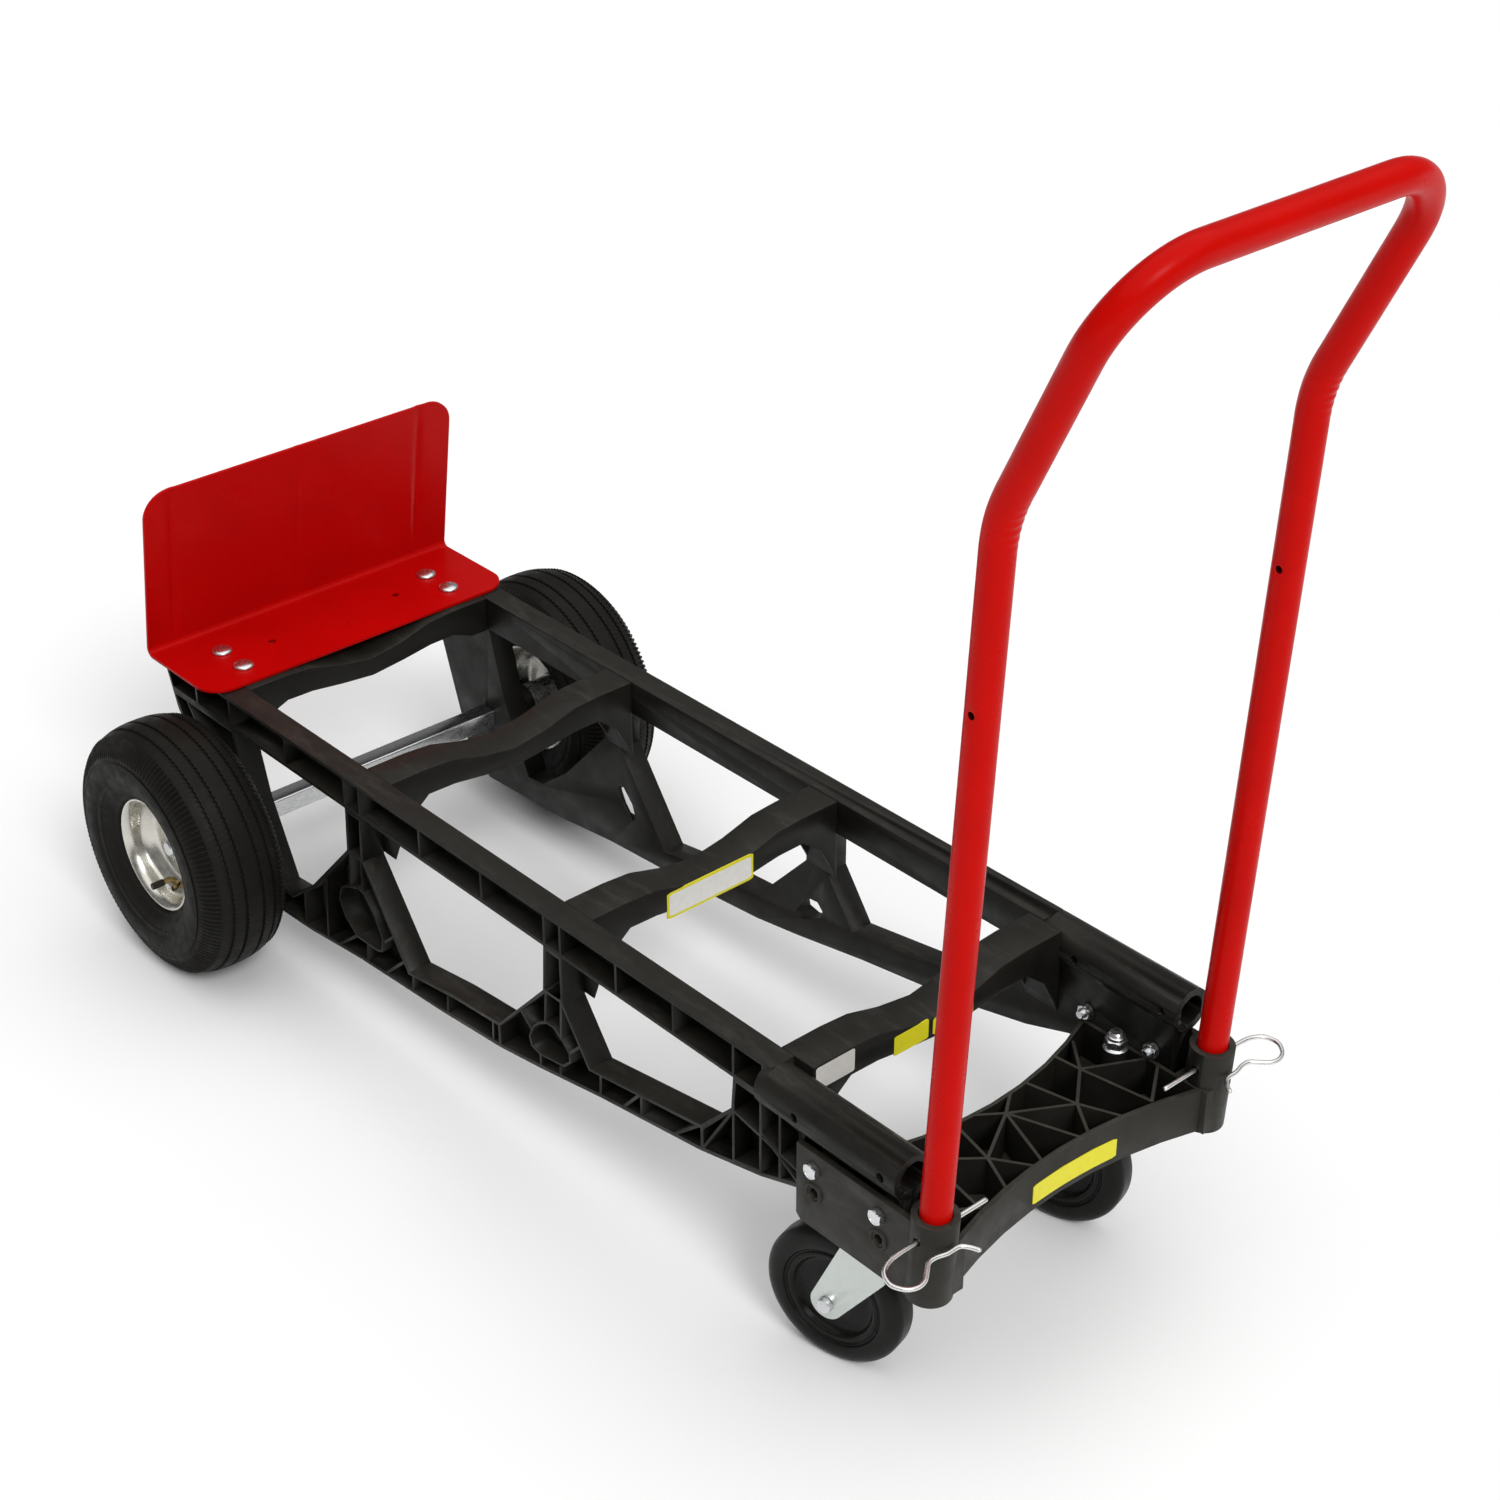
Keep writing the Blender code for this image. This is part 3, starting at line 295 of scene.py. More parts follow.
def piece(name, points, faces, look, smooth_angle=40):
    """A mesh object from points in millimetres."""
    mesh = bpy.data.meshes.new(name)
    mesh.from_pydata([Vector(point) * MM for point in points], [], faces)
    work = bmesh.new()
    work.from_mesh(mesh)
    bmesh.ops.recalc_face_normals(work, faces=work.faces)
    work.to_mesh(mesh)
    work.free()
    mesh.materials.append(look)
    mesh.shade_smooth()
    mesh.set_sharp_from_angle(angle=math.radians(smooth_angle))
    item = bpy.data.objects.new(name, mesh)
    bpy.context.scene.collection.objects.link(item)
    return item


def circle(radius, sides):
    step = 2 * math.pi / sides
    return [(radius * math.cos(step * i), radius * math.sin(step * i)) for i in range(sides)]


def lofted(name, rings, look, looped=False, smooth_angle=40):
    """A skin over rings of equal length; looped joins the last ring to the first, as a tube's bore does."""
    count = len(rings[0])
    points = [point for ring in rings for point in ring]
    faces = []
    pairs = [(k, k + 1) for k in range(len(rings) - 1)]
    if looped:
        pairs.append((len(rings) - 1, 0))
    else:
        faces += [list(range(count)), list(range((len(rings) - 1) * count, len(rings) * count))]
    for low, high in pairs:
        for i in range(count):
            j = (i + 1) % count
            faces.append([low * count + i, low * count + j, high * count + j, high * count + i])
    return piece(name, points, faces, look, smooth_angle)


def turned(name, profile, sides, look, axis="Z", looped=True, smooth_angle=40):
    """A profile of (along, radius) turned round an axis through the origin."""
    rings = []
    for along, radius in profile:
        flat = circle(radius, sides)
        rings.append([(u, along, v) if axis == "Y" else (u, v, along) for u, v in flat])
    return lofted(name, rings, look, looped, smooth_angle)


def arc(centre, radius, start, end, steps):
    """Points on an arc, in the profile's own plane; angles are degrees."""
    angles = [math.radians(start + (end - start) * k / steps) for k in range(steps + 1)]
    return [(centre[0] + radius * math.cos(a), centre[1] + radius * math.sin(a)) for a in angles]


def rounded_path(knots, radii, spacing, arc_steps):
    """Straight runs between knots, cut into short lengths, with an arc at each inner knot."""
    runs = [Vector(knots[0])]
    for before, corner, after, radius in zip(knots, knots[1:], knots[2:], radii):
        here = Vector(corner)
        to_before = (Vector(before) - here).normalized()
        to_after = (Vector(after) - here).normalized()
        half = to_before.angle(to_after) / 2
        centre = here + (to_before + to_after).normalized() * (radius / math.sin(half))
        start = here + to_before * (radius / math.tan(half)) - centre
        axis = to_after.cross(to_before).normalized()
        straight(runs, centre + start, spacing)
        for k in range(1, arc_steps + 1):
            runs.append(centre + Matrix.Rotation((math.pi - 2 * half) * k / arc_steps, 3, axis) @ start)
    straight(runs, Vector(knots[-1]), spacing)
    return runs


def straight(runs, end, spacing):
    """Adds points in a straight line, from the last one up to the end."""
    start = runs[-1].copy()
    count = max(1, round((end - start).length / spacing))
    for k in range(1, count + 1):
        runs.append(start.lerp(end, k / count))


def smooth_path(knots, steps):
    """A curve through every knot."""
    points = [Vector(knot) for knot in knots]
    points = [2 * points[0] - points[1]] + points + [2 * points[-1] - points[-2]]
    path = []
    for a, b, c, d in zip(points, points[1:], points[2:], points[3:]):
        for k in range(steps):
            t = k / steps
            path.append(0.5 * (2 * b + (c - a) * t + (2 * a - 5 * b + 4 * c - d) * t * t
                               + (3 * b - a - 3 * c + d) * t ** 3))
    path.append(points[-2])
    return path


def frames_along(path):
    """Two directions across the path at each of its points, turning as little as they can."""
    tangents = []
    for i in range(len(path)):
        tangents.append((path[min(i + 1, len(path) - 1)] - path[max(i - 1, 0)]).normalized())
    side = Vector((0, 1, 0)) if abs(tangents[0].y) < 0.5 else Vector((0, 0, 1))
    frames = []
    for tangent in tangents:
        side = (side - tangent * side.dot(tangent)).normalized()
        frames.append((side, tangent.cross(side)))
    return frames


def swept(name, path, radius, sides, look, shape=None, bore=0.0, round_ends=0):
    """A round bar along a path. shape(point, outward) returns what to add to the radius there."""
    frames = frames_along(path)
    stations = [(point, axes, radius) for point, axes in zip(path, frames)]
    if round_ends:
        head = (path[0] - path[1]).normalized()
        tail = (path[-1] - path[-2]).normalized()
        for k in range(1, round_ends + 1):
            angle = math.pi / 2 * k / round_ends
            beyond, size = radius * (math.sin(angle) - 0.15), radius * max(math.cos(angle), 0.12)
            stations.insert(0, (path[0] + head * beyond, frames[0], size))
            stations.append((path[-1] + tail * beyond, frames[-1], size))

    rings = []
    for point, (a, b), size in stations:
        ring = []
        for u, v in circle(1.0, sides):
            outward = a * u + b * v
            extra = shape(point, outward) if shape else 0.0
            ring.append(point + outward * (size + extra))
        rings.append(ring)
    if bore:
        for point, (a, b), _ in reversed(stations):
            rings.append([point + (a * u + b * v) * bore for u, v in circle(1.0, sides)])
    return lofted(name, rings, look, looped=bool(bore), smooth_angle=50)


def bar(name, start, end, radius, look, sides=56):
    return swept(name, [Vector(start), Vector(end)], radius, sides, look)


def prism(name, outline, axis, low, high, look):
    """An outline drawn out along X or Y."""
    count = len(outline)
    points = [(w, u, v) if axis == "X" else (u, w, v) for w in (low, high) for u, v in outline]
    faces = [list(range(count)), list(range(count, 2 * count))]
    for i in range(count):
        j = (i + 1) % count
        faces.append([i, j, j + count, i + count])
    return piece(name, points, faces, look, 30)


def bevelled(item, width, angle=50):
    """Rounds every edge sharper than an angle."""
    step = item.modifiers.new("edges", "BEVEL")
    step.width = width * MM
    step.segments = 2
    step.limit_method = "ANGLE"
    step.angle_limit = math.radians(angle)
    step.harden_normals = False
    step.use_clamp_overlap = True
    return applied(item)


def applied(item):
    """The item with its modifiers made permanent."""
    graph = bpy.context.evaluated_depsgraph_get()
    mesh = bpy.data.meshes.new_from_object(item.evaluated_get(graph))
    item.modifiers.clear()
    item.data = mesh
    return item


def boolean(item, tools, operation="DIFFERENCE"):
    """Cuts each tool from the item, or joins it on, and removes the tool."""
    for tool in tools:
        step = item.modifiers.new("step", "BOOLEAN")
        step.operation = operation
        step.solver = "EXACT"
        step.object = tool
        applied(item)
        bpy.data.objects.remove(tool)


def shade(item, angle=35):
    item.data.shade_smooth()
    item.data.set_sharp_from_angle(angle=math.radians(angle))


def merged(name, items):
    """Several meshes as one object. Each keeps its one material."""
    work = bmesh.new()
    looks = []
    for item in items:
        look = item.data.materials[0]
        if look not in looks:
            looks.append(look)
        for face in item.data.polygons:
            face.material_index = looks.index(look)
        work.from_mesh(item.data)
    mesh = bpy.data.meshes.new(name)
    work.to_mesh(mesh)
    work.free()
    for look in looks:
        mesh.materials.append(look)
    for item in items:
        bpy.data.objects.remove(item)
    made = bpy.data.objects.new(name, mesh)
    bpy.context.scene.collection.objects.link(made)
    return made


def put(item, place, turn=None):
    item.location = Vector(place) * MM
    if turn:
        item.rotation_euler = turn
    return item


def fit(item, body, slot, *nodes):
    """Rides a finished piece on its body, in place of the CAD nodes it stands for."""
    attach(item, body)
    if nodes:
        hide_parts(*nodes)


# ---------------------------------------------------------------- threads and heads

HEAD_SIDES = 48


def hex_radius(angle, flats):
    """Distance from a hexagon's middle to its side, in one direction."""
    turn = (angle + math.pi / 6) % (math.pi / 3) - math.pi / 6
    return flats / 2 / math.cos(turn)


def hex_rings(flats, low, high, bottom_chamfer=False):
    """Rings of a hexagon whose corners are turned down to a cone at its top, and at its bottom if asked."""
    height = high - low
    rings = []
    for share in (0.0, 0.04, 0.1, 0.18, 0.5, 0.82, 0.9, 0.96, 1.0):
        z = low + height * share
        limit = min(flats, flats * 0.47 + (high - z) * 1.7)
        if bottom_chamfer:
            limit = min(limit, flats * 0.47 + (z - low) * 1.7)
        ring = []
        for angle in turns(HEAD_SIDES):
            radius = min(hex_radius(angle, flats), limit)
            ring.append((radius * math.cos(angle), radius * math.sin(angle), z))
        rings.append(ring)
    return rings


def turns(sides):
    return [2 * math.pi * i / sides for i in range(sides)]


def level(radius, z):
    return [(u, v, z) for u, v in circle(radius, HEAD_SIDES)]


def thread_rings(radius, low, high, pitch=1.25):
    """Ridges round a shank, from low to high."""
    rings = []
    count = max(1, round((high - low) / pitch))
    for k in range(count):
        z = low + (high - low) * k / count
        rings += [level(radius - 0.55, z), level(radius, z + (high - low) / count * 0.5)]
    rings.append(level(radius - 0.6, high))
    return rings


# ---------------------------------------------------------------- main wheels

TREAD_TEETH = 144
TREAD_STEPS = 4  # mesh steps round each tooth
WAIST = 91.0  # radius at which the tyre is widest
GROOVES = (-23.0, -9.5, 9.5, 23.0)
GROOVE_HALF, GROOVE_DEPTH, GROOVE_SWAY = 1.3, 2.4, 0.55
SHOULDER, SHOULDER_END = 33.0, 46.0  # the toothed band, as distances from the middle
TOOTH_RISE, TOOTH_GAP = 2.0, 1.2
VALVE_SEAT = 12.0  # how far out of the wheel's middle plane the valve leaves the rim


def crown_radius(across, half, radius):
    """Radius of the tyre's outer skin at a distance across, full at the middle and round at the shoulders."""
    share = min(1.0, abs(across) / half)
    return WAIST + (radius - WAIST) * (1 - share ** 2.6) ** (1 / 2.3)


def tyre(tag):
    low, high = corners(f"{tag}_tyre")
    centre = (low + high) / 2
    radius = (high.z - low.z) / 2
    half = (high.y - low.y) / 2
    sides = TREAD_TEETH * TREAD_STEPS

    # Stations across the tread, packed where a groove has its walls
    spread = {0.0, 4.5, 16.0, 29.0, SHOULDER, SHOULDER + 0.6, 37.5, 41.5, 43.5, 45.2, SHOULDER_END, 47.3}
    for groove in GROOVES[2:]:
        for wall in (GROOVE_HALF + 0.5, GROOVE_HALF - 0.1):
            spread |= {groove - wall, groove + wall}
        spread.add(groove)
    half_stations = sorted(spread)
    stations = [-a for a in reversed(half_stations[1:])] + half_stations

    def skin(across, high_side):
        """The tread's radius: grooves run round it, and its shoulders have teeth."""
        base = crown_radius(across, half, radius)
        reach = abs(across)
        if SHOULDER < reach < SHOULDER_END:
            fade = min(1.0, (reach - SHOULDER) / 0.6) * min(1.0, (SHOULDER_END - reach) / 0.8)
            return base + fade * (TOOTH_RISE if high_side else -TOOTH_GAP)
        if any(abs(across - groove) < GROOVE_HALF for groove in GROOVES):
            return base - GROOVE_DEPTH
        return base

    def sway(across, high_side):
        """The groove walls zigzag round the tyre."""
        if any(abs(across - groove) < GROOVE_HALF + 1.0 for groove in GROOVES):
            return GROOVE_SWAY if high_side else -GROOVE_SWAY
        return 0.0

    def plain(profile):
        return [[(r * math.cos(t), across, r * math.sin(t)) for t in turns(sides)] for across, r in profile]

    # The side, from the shoulder down to the bead, then the inside from bead to bead: (across, radius)
    flank = [(47.9, 101.5), (47.6, 100.9), (47.9, 100.2), (48.0, 88.0), (47.0, 82.5), (46.3, 81.8),
             (45.9, 80.6), (45.4, 76.4), (44.4, 75.6), (43.9, 74.4), (43.0, 72.0), (40.0, 67.5), (37.0, 64.0),
             (36.2, 62.6), (35.6, 60.6), (33.9, 59.3), (31.4, 58.9), (31.0, 54.0)]
    flank = [(min(a, half), r) for a, r in flank]
    liner = [(26.5, 54.0), (27.0, 63.0), (40.0, 92.0), (24.0, 117.0)]
    rings = plain([(-a, r) for a, r in reversed(flank)])
    for across in stations:
        ring = []
        for step, t in enumerate(turns(sides)):
            high_side = step % TREAD_STEPS < TREAD_STEPS // 2
            r = min(skin(across, high_side), radius)
            ring.append((r * math.cos(t), across + sway(across, high_side), r * math.sin(t)))
        rings.append(ring)
    rings += plain(flank + liner + [(-a, r) for a, r in reversed(liner)])
    item = lofted(f"{tag}_tyre_skin", rings, TYRE, looped=True, smooth_angle=38)
    fit(put(item, centre), f"{tag}_wheel", "tyre_rubber", f"{tag}_tyre")


def faced(side, profile):
    """A profile whose first number is the distance outward from the wheel's middle plane."""
    return [(side * a, r) for a, r in profile]


def valve_direction(tag):
    """From the wheel's axle towards its valve."""
    at = middle(f"{tag}_valve") - middle(f"{tag}_tyre")
    return Vector((at.x, 0, at.z)).normalized()


def rim(side, tag):
    """Two pressed dishes back to back; each ends in a rolled lip."""
    centre = middle(f"{tag}_tyre")
    lip = arc((31.9, 57.2), 1.7, 90, -60, 7)
    bowl = [(31.0, 52.6), (24.0, 51.2), (19.0, 50.5), (16.5, 49.8), (14.0, 47.8), (12.0, 45.4), (9.5, 43.2),
            (7.2, 41.0), (5.6, 38.0), (4.9, 34.0), (4.6, 29.0), (4.3, 24.5), (3.6, 21.5), (3.0, 19.5),
            (2.9, 17.4)]
    face = lip + bowl
    back = [(a - 1.6, r + (1.2 if r > 40 else 0.0)) for a, r in reversed(bowl)]
    back = [(max(a, 0.4), r) for a, r in back] + [(30.3, 56.2), (30.9, 58.3)]
    for sign, word in ((side, "outer"), (-side, "inner")):
        profile = [(sign * a, r) for a, r in face + back]
        item = turned(f"{tag}_rim_{word}_dish", profile, 96, RIM, "Y", smooth_angle=50)
        if word == "outer":
            down = valve_direction(tag)
            seat = Vector((0, side * VALVE_SEAT, 0))
            boolean(item, [bar("hole", down * 40 + seat, down * 60 + seat, 4.4, RIM, 24)])
            shade(item, 50)
        fit(put(item, centre), f"{tag}_wheel", "rim_steel", f"{tag}_rim_{word}")


def hub(side, tag):
    low, high = corners(f"{tag}_hub")
    centre = middle(f"{tag}_tyre")
    inboard, outboard = sorted(side * (y - centre.y) for y in (low.y, high.y))
    sleeve = [(inboard, 15.0), (inboard, 16.4), (inboard + 0.6, 17.0), (-6.0, 17.0), (-5.0, 17.3),
              (-3.0, 19.5), (-1.4, 20.4), (-0.6, 19.0), (-0.2, 17.2), (outboard - 0.6, 17.0),
              (outboard, 16.4), (outboard, 15.0)]
    item = turned(f"{tag}_hub_sleeve", faced(side, sleeve), 64, ZINC, "Y")
    fit(put(item, centre), f"{tag}_wheel", "zinc", f"{tag}_hub")
    for word, sign in (("outer", 1), ("inner", -1)):
        node = f"{tag}_bearing_{word}"
        low, high = corners(node)
        half = (high.y - low.y) / 2
        ring = [(-half, 8.4), (half - 0.3, 8.4), (half, 8.7), (half, 10.4), (half - 1.0, 10.7),
                (half - 1.0, 12.4), (half, 12.7), (half, 14.3), (half - 0.3, 14.6), (-half, 14.6)]
        item = turned(f"{node}_ring", faced(side * sign, ring), 64, ZINC, "Y")
        fit(put(item, middle(node)), f"{tag}_wheel", "zinc", node)


def valve(side, tag):
    """A bent brass stem with a ribbed black cap."""
    low, high = corners(f"{tag}_valve")
    centre = middle(f"{tag}_tyre")
    foot, lift = valve_direction(tag) * 55.0, valve_direction(tag) * 35.5
    tip = abs((low.y if side < 0 else high.y) - centre.y)

    def out(distance):
        return Vector((0, side * distance, 0))

    def thread(point, outward):
        return 0.25 if round(point.length * 1.3) % 2 else 0.0

    def ribs(point, outward):
        return 0.3 * math.cos(12 * math.atan2(outward.z, outward.x)) - 0.3

    cap_start, cap_end = lift + out(tip - 13.0), lift + out(tip)
    knots = [foot + out(VALVE_SEAT), lift + out(VALVE_SEAT), cap_start]
    stem = swept("stem", rounded_path(knots, [7.5], 1.2, 10), 2.9, 24, BRASS, shape=thread)
    cap = swept("cap", [cap_start.lerp(cap_end, k / 8) for k in range(9)], 3.5, 72, CAP, shape=ribs)
    item = merged(f"{tag}_valve_stem", [stem, bevelled(cap, 0.4)])
    fit(put(item, centre), f"{tag}_wheel", "brass", f"{tag}_valve")


for side, tag in SIDES:
    tyre(tag)
    rim(side, tag)
    hub(side, tag)
    valve(side, tag)


# ---------------------------------------------------------------- axle


def axle_rod():
    low, high = corners("axle")
    centre = middle("axle")
    radius, end = (high.z - low.z) / 2, (high.y - low.y) / 2
    profile = [(-end, radius - 1.4), (-end + 1.2, radius), (end - 1.2, radius), (end, radius - 1.4)]
    item = turned("axle_rod", profile, 48, BAR, "Y", looped=False)
    pin_y = middle("split_pin_right").y - centre.y
    boolean(item, [bar("hole", (0, y, -20), (0, y, 20), 2.1, BAR, 16) for y in (-pin_y, pin_y)])
    shade(item)
    fit(put(item, centre), "truck", "zinc", "axle")


def rounded_square(half, radius):
    outline = []
    for turn, (sx, sy) in enumerate(((1, 1), (-1, 1), (-1, -1), (1, -1))):
        outline += arc((sx * (half - radius), sy * (half - radius)), radius, 90 * turn, 90 * turn + 90, 4)
    return outline


def axle_spacer():
    low, high = corners("axle_tube")
    half, reach = (high.x - low.x) / 2, (high.y - low.y) / 2
    outer, inner = rounded_square(half, 2.2), rounded_square(half - 1.6, 0.8)
    ends = ((outer, -reach), (outer, reach), (inner, reach), (inner, -reach))
    rings = [[(u, y, v) for u, v in outline] for outline, y in ends]
    tube = lofted("axle_spacer", rings, BAR, looped=True)
    fit(put(tube, middle("axle_tube")), "truck", "zinc", "axle_tube")


def split_pin(tag):
    """Two wires side by side, with an eye at the top and their lower ends bent apart."""
    node = f"split_pin_{tag}"
    at = middle(node)
    low, high = corners(node)
    bottom, top = low.z - at.z, high.z - at.z
    half = [(3.4, bottom + 1.6), (1.1, bottom + 6.0), (0.75, bottom + 9.0), (0.75, top - 9.0), (1.2, top - 7.6),
            (3.6, top - 4.6), (2.6, top - 1.9), (0, top - 1.0)]
    wires = []
    for hand in (-1, 1):
        path = smooth_path([(hand * x, 0, z) for x, z in half], 5)
        wires.append(swept("wire", path, 0.8, 12, WIRE))
    item = merged(f"{node}_wire", wires)
    fit(put(item, (middle("axle").x, at.y, at.z)), "truck", "zinc", node)


axle_rod()
axle_spacer()
for _, tag in SIDES:
    split_pin(tag)


# ---------------------------------------------------------------- toe plate


def toe_plate():
    """A sheet folded to an L with rounded corners, slightly creased where it was pressed.

    On the flat blank, u runs across and v runs from the front edge of the base (0) to the top edge.
    """
    low, high = corners("toe_plate")
    sheet, bend, radius = 3.0, 6.0, 28.0  # thickness, inner radius of the fold, radius of the corners
    lean = math.radians(8.8)
    creases = ((-150.0, 1.6), (-5.0, 1.1), (141.0, 2.2))  # (across, depth)
    crease_width = 3.6
    base, front = low.z, high.x
    half = (high.y - low.y) / 2
    fold_angle = math.radians(90) + lean
    arc_length = fold_angle * (bend + sheet)
    run = front - low.x - bend - sheet
    rise = high.z - base - bend - sheet
    beyond_total = (rise - (bend + sheet) * math.sin(lean)) / math.cos(lean)
    total = run + arc_length + beyond_total

    def dent(u, beyond):
        if beyond <= 0:
            return 0.0
        fade = min(1.0, beyond / 30.0) * min(1.0, 0.35 + (beyond_total - beyond) / 60.0)
        return fade * sum(depth * math.exp(-((u - y) / crease_width) ** 2) for y, depth in creases)

    def fold(u, v, depth):
        """Where a point of the blank ends up; depth is measured down from the sheet's upper face."""
        if v <= run:
            return (front - v, u, base + sheet - depth)
        centre_x, centre_z = front - run, base + sheet + bend
        turn = min((v - run) / (bend + sheet), fold_angle)
        beyond = max(0.0, v - run - arc_length)
        reach = bend + depth + dent(u, beyond)
        x = centre_x - reach * math.sin(turn)
        z = centre_z - reach * math.cos(turn)
        return (x - beyond * math.cos(fold_angle), u, z + beyond * math.sin(fold_angle))

    def half_width(v):
        edge = min(v, total - v)
        if edge >= radius:
            return half
        return half - radius + math.sqrt(max(0.0, radius ** 2 - (radius - edge) ** 2))

    corner = [radius * (1 - math.cos(math.radians(a))) for a in range(0, 91, 9)]
    bends = [run + arc_length * k / 12 for k in range(13)]
    flats = [radius + (run - radius) * k / 8 for k in range(1, 8)]
    upright = [run + arc_length + (beyond_total - radius) * k / 14 for k in range(1, 14)]
    stations = corner + flats + bends + upright + [total - v for v in reversed(corner)]
    count = 180
    across = [2 * k / count - 1 for k in range(count + 1)]
    rings = []
    for v in stations:
        w = half_width(v)
        rings.append([fold(w * t, v, 0.0) for t in across] + [fold(w * t, v, sheet) for t in reversed(across)])
    item = lofted("toe_plate_sheet", rings, PLATE_RED)
    holes = [bar("hole", (-543, y, base - 5), (-543, y, base + 9), 4.0, PLATE_RED, 24) for y in (-75, 75)]
    pock = bar("pock", (-525, 2, base + 2), (-525, 2, base + 9), 1.6, PLATE_RED, 16)
    boolean(item, holes + [pock])
    bevelled(item, 0.7, 60)
    shade(item, 40)
    fit(item, "truck", "red_coat", "toe_plate")


toe_plate()


# ---------------------------------------------------------------- bolts and nuts


def carriage_bolt(node):
    """A domed head on a plain shank, built down from its top."""
    low, high = corners(node)
    at = middle(node)
    length = high.z - low.z
    radius = (high.x - low.x) / 2
    head = 4.4
    shank = 4.0
    dome = [(-length, 3.4), (0.6 - length, shank), (-head, shank), (-head, radius - 0.4), (0.4 - head, radius)]
    for degrees in range(10, 90, 10):
        angle = math.radians(degrees)
        out = radius * (0.06 + 0.94 * math.cos(angle) ** 0.8)
        dome.append((0.9 - head + (head - 0.9) * math.sin(angle), out))
    item = turned(f"{node}_dome", dome, 40, ZINC, looped=False)
    fit(put(item, (at.x, at.y, high.z)), "truck", "zinc", node)


def hex_nut(node, turn):
    low, high = corners(node)
    half = min(high - low) / 2
    rings = hex_rings(13.0, -half, half, bottom_chamfer=True)
    rings += [level(4.9, half), level(4.3, half - 0.6), level(4.3, 0.6 - half), level(4.9, -half)]
    item = lofted(f"{node}_hex", rings, ZINC, looped=True, smooth_angle=28)
    fit(put(item, middle(node), turn), "truck", "zinc", node)


def hex_bolt(node, side, turn):
    """A hex head and a threaded shank, with its seat at height 0."""
    low, high = corners(node)
    at = middle(node)
    head = 5.6
    shank_end = head - (high.y - low.y)
    shank = 4.0
    rings = [level(3.2, shank_end), level(shank, shank_end + 0.8)]
    rings += thread_rings(shank, shank_end + 1.0, shank_end + 21.0)
    rings += [level(shank, shank_end + 21.5), level(shank, -0.2), level(shank, 0.0)]
    rings += hex_rings(13.0, 0.0, head)
    rings += [level(5.2, head), level(5.0, head - 0.35)]
    item = lofted(f"{node}_hex", rings, ZINC, smooth_angle=28)
    face = high.y if side > 0 else low.y
    fit(put(item, (at.x, face - side * head, at.z), turn), "truck", "zinc", node)


for _, tag in SIDES:
    for number in (1, 2):
        carriage_bolt(f"toe_bolt_{tag}_{number}")
        hex_nut(f"toe_nut_{tag}_{number}", (0, 0, 0))

for side, tag in SIDES:
    outward_turn = (math.radians(-90 * side), 0, 0)
    for number in (1, 2):
        hex_bolt(f"end_bolt_{tag}_{number}", side, outward_turn)
        hex_nut(f"end_nut_{tag}_{number}", outward_turn)


# ---------------------------------------------------------------- casters

FORK_INSIDE, FORK_OUTSIDE = 18.3, 21.0  # half the distance between the fork's legs, inside and outside
TREAD_HALF, TREAD_DEPTH = 14.5, 12.5  # the tread's half width, and how deep its round shoulders are
CASTER_SIDES = 112


def caster_axes(tag):
    """A caster's swivel point, wheel centre and yaw, from the record's joints."""
    joints = {joint["name"]: joint for joint in frame["joints"]}
    swivel = Vector(joints[f"caster_{tag}_turn"]["pos_m"]) / MM
    roll = Vector(joints[f"caster_{tag}_roll"]["pos_m"]) / MM
    yaw = math.atan2(swivel.y - roll.y, swivel.x - roll.x)
    return swivel, roll, yaw


def stem(tag):
    swivel, _, _ = caster_axes(tag)
    low, high = corners(f"caster_{tag}_stem")
    shank = 6.2
    race = [(19.0, 0), (20.0, 0), (24.6, 0.9), (25.8, 2.4), (26.0, 3.6), (25.4, 5.4), (24.0, 5.9), (shank, 5.9)]
    rings = [level(radius, low.z + z) for radius, z in race]
    rings.append(level(shank, high.z - 12.0))
    rings += thread_rings(shank, high.z - 11.8, high.z - 0.8, 1.75)
    rings.append(level(5.0, high.z))
    item = lofted(f"caster_{tag}_stem_race", rings, ZINC)
    fit(put(item, (swivel.x, swivel.y, 0)), "truck", "zinc", f"caster_{tag}_stem")


def lock_nut(tag):
    """A flanged hex nut with a round collar on top."""
    swivel, _, _ = caster_axes(tag)
    low, high = corners(f"caster_{tag}_lock_nut")
    height = high.z - low.z
    flange = (high.x - low.x) / 2
    rings = [level(6.6, 0), level(flange - 0.3, 0), level(flange, 0.4), level(flange, 1.3),
             level(flange - 0.8, 2.0), level(9.2, 2.9)]
    rings += hex_rings(17.6, 3.0, height - 3.4)
    for radius, down in ((8.0, 3.2), (7.9, 0.9), (7.3, 0.2), (6.9, 0), (6.6, 0.3)):
        rings.append(level(radius, height - down))
    item = lofted(f"caster_{tag}_lock_nut_hex", rings, ZINC, looped=True, smooth_angle=28)
    fit(put(item, (swivel.x, swivel.y, low.z)), "truck", "zinc", f"caster_{tag}_lock_nut")


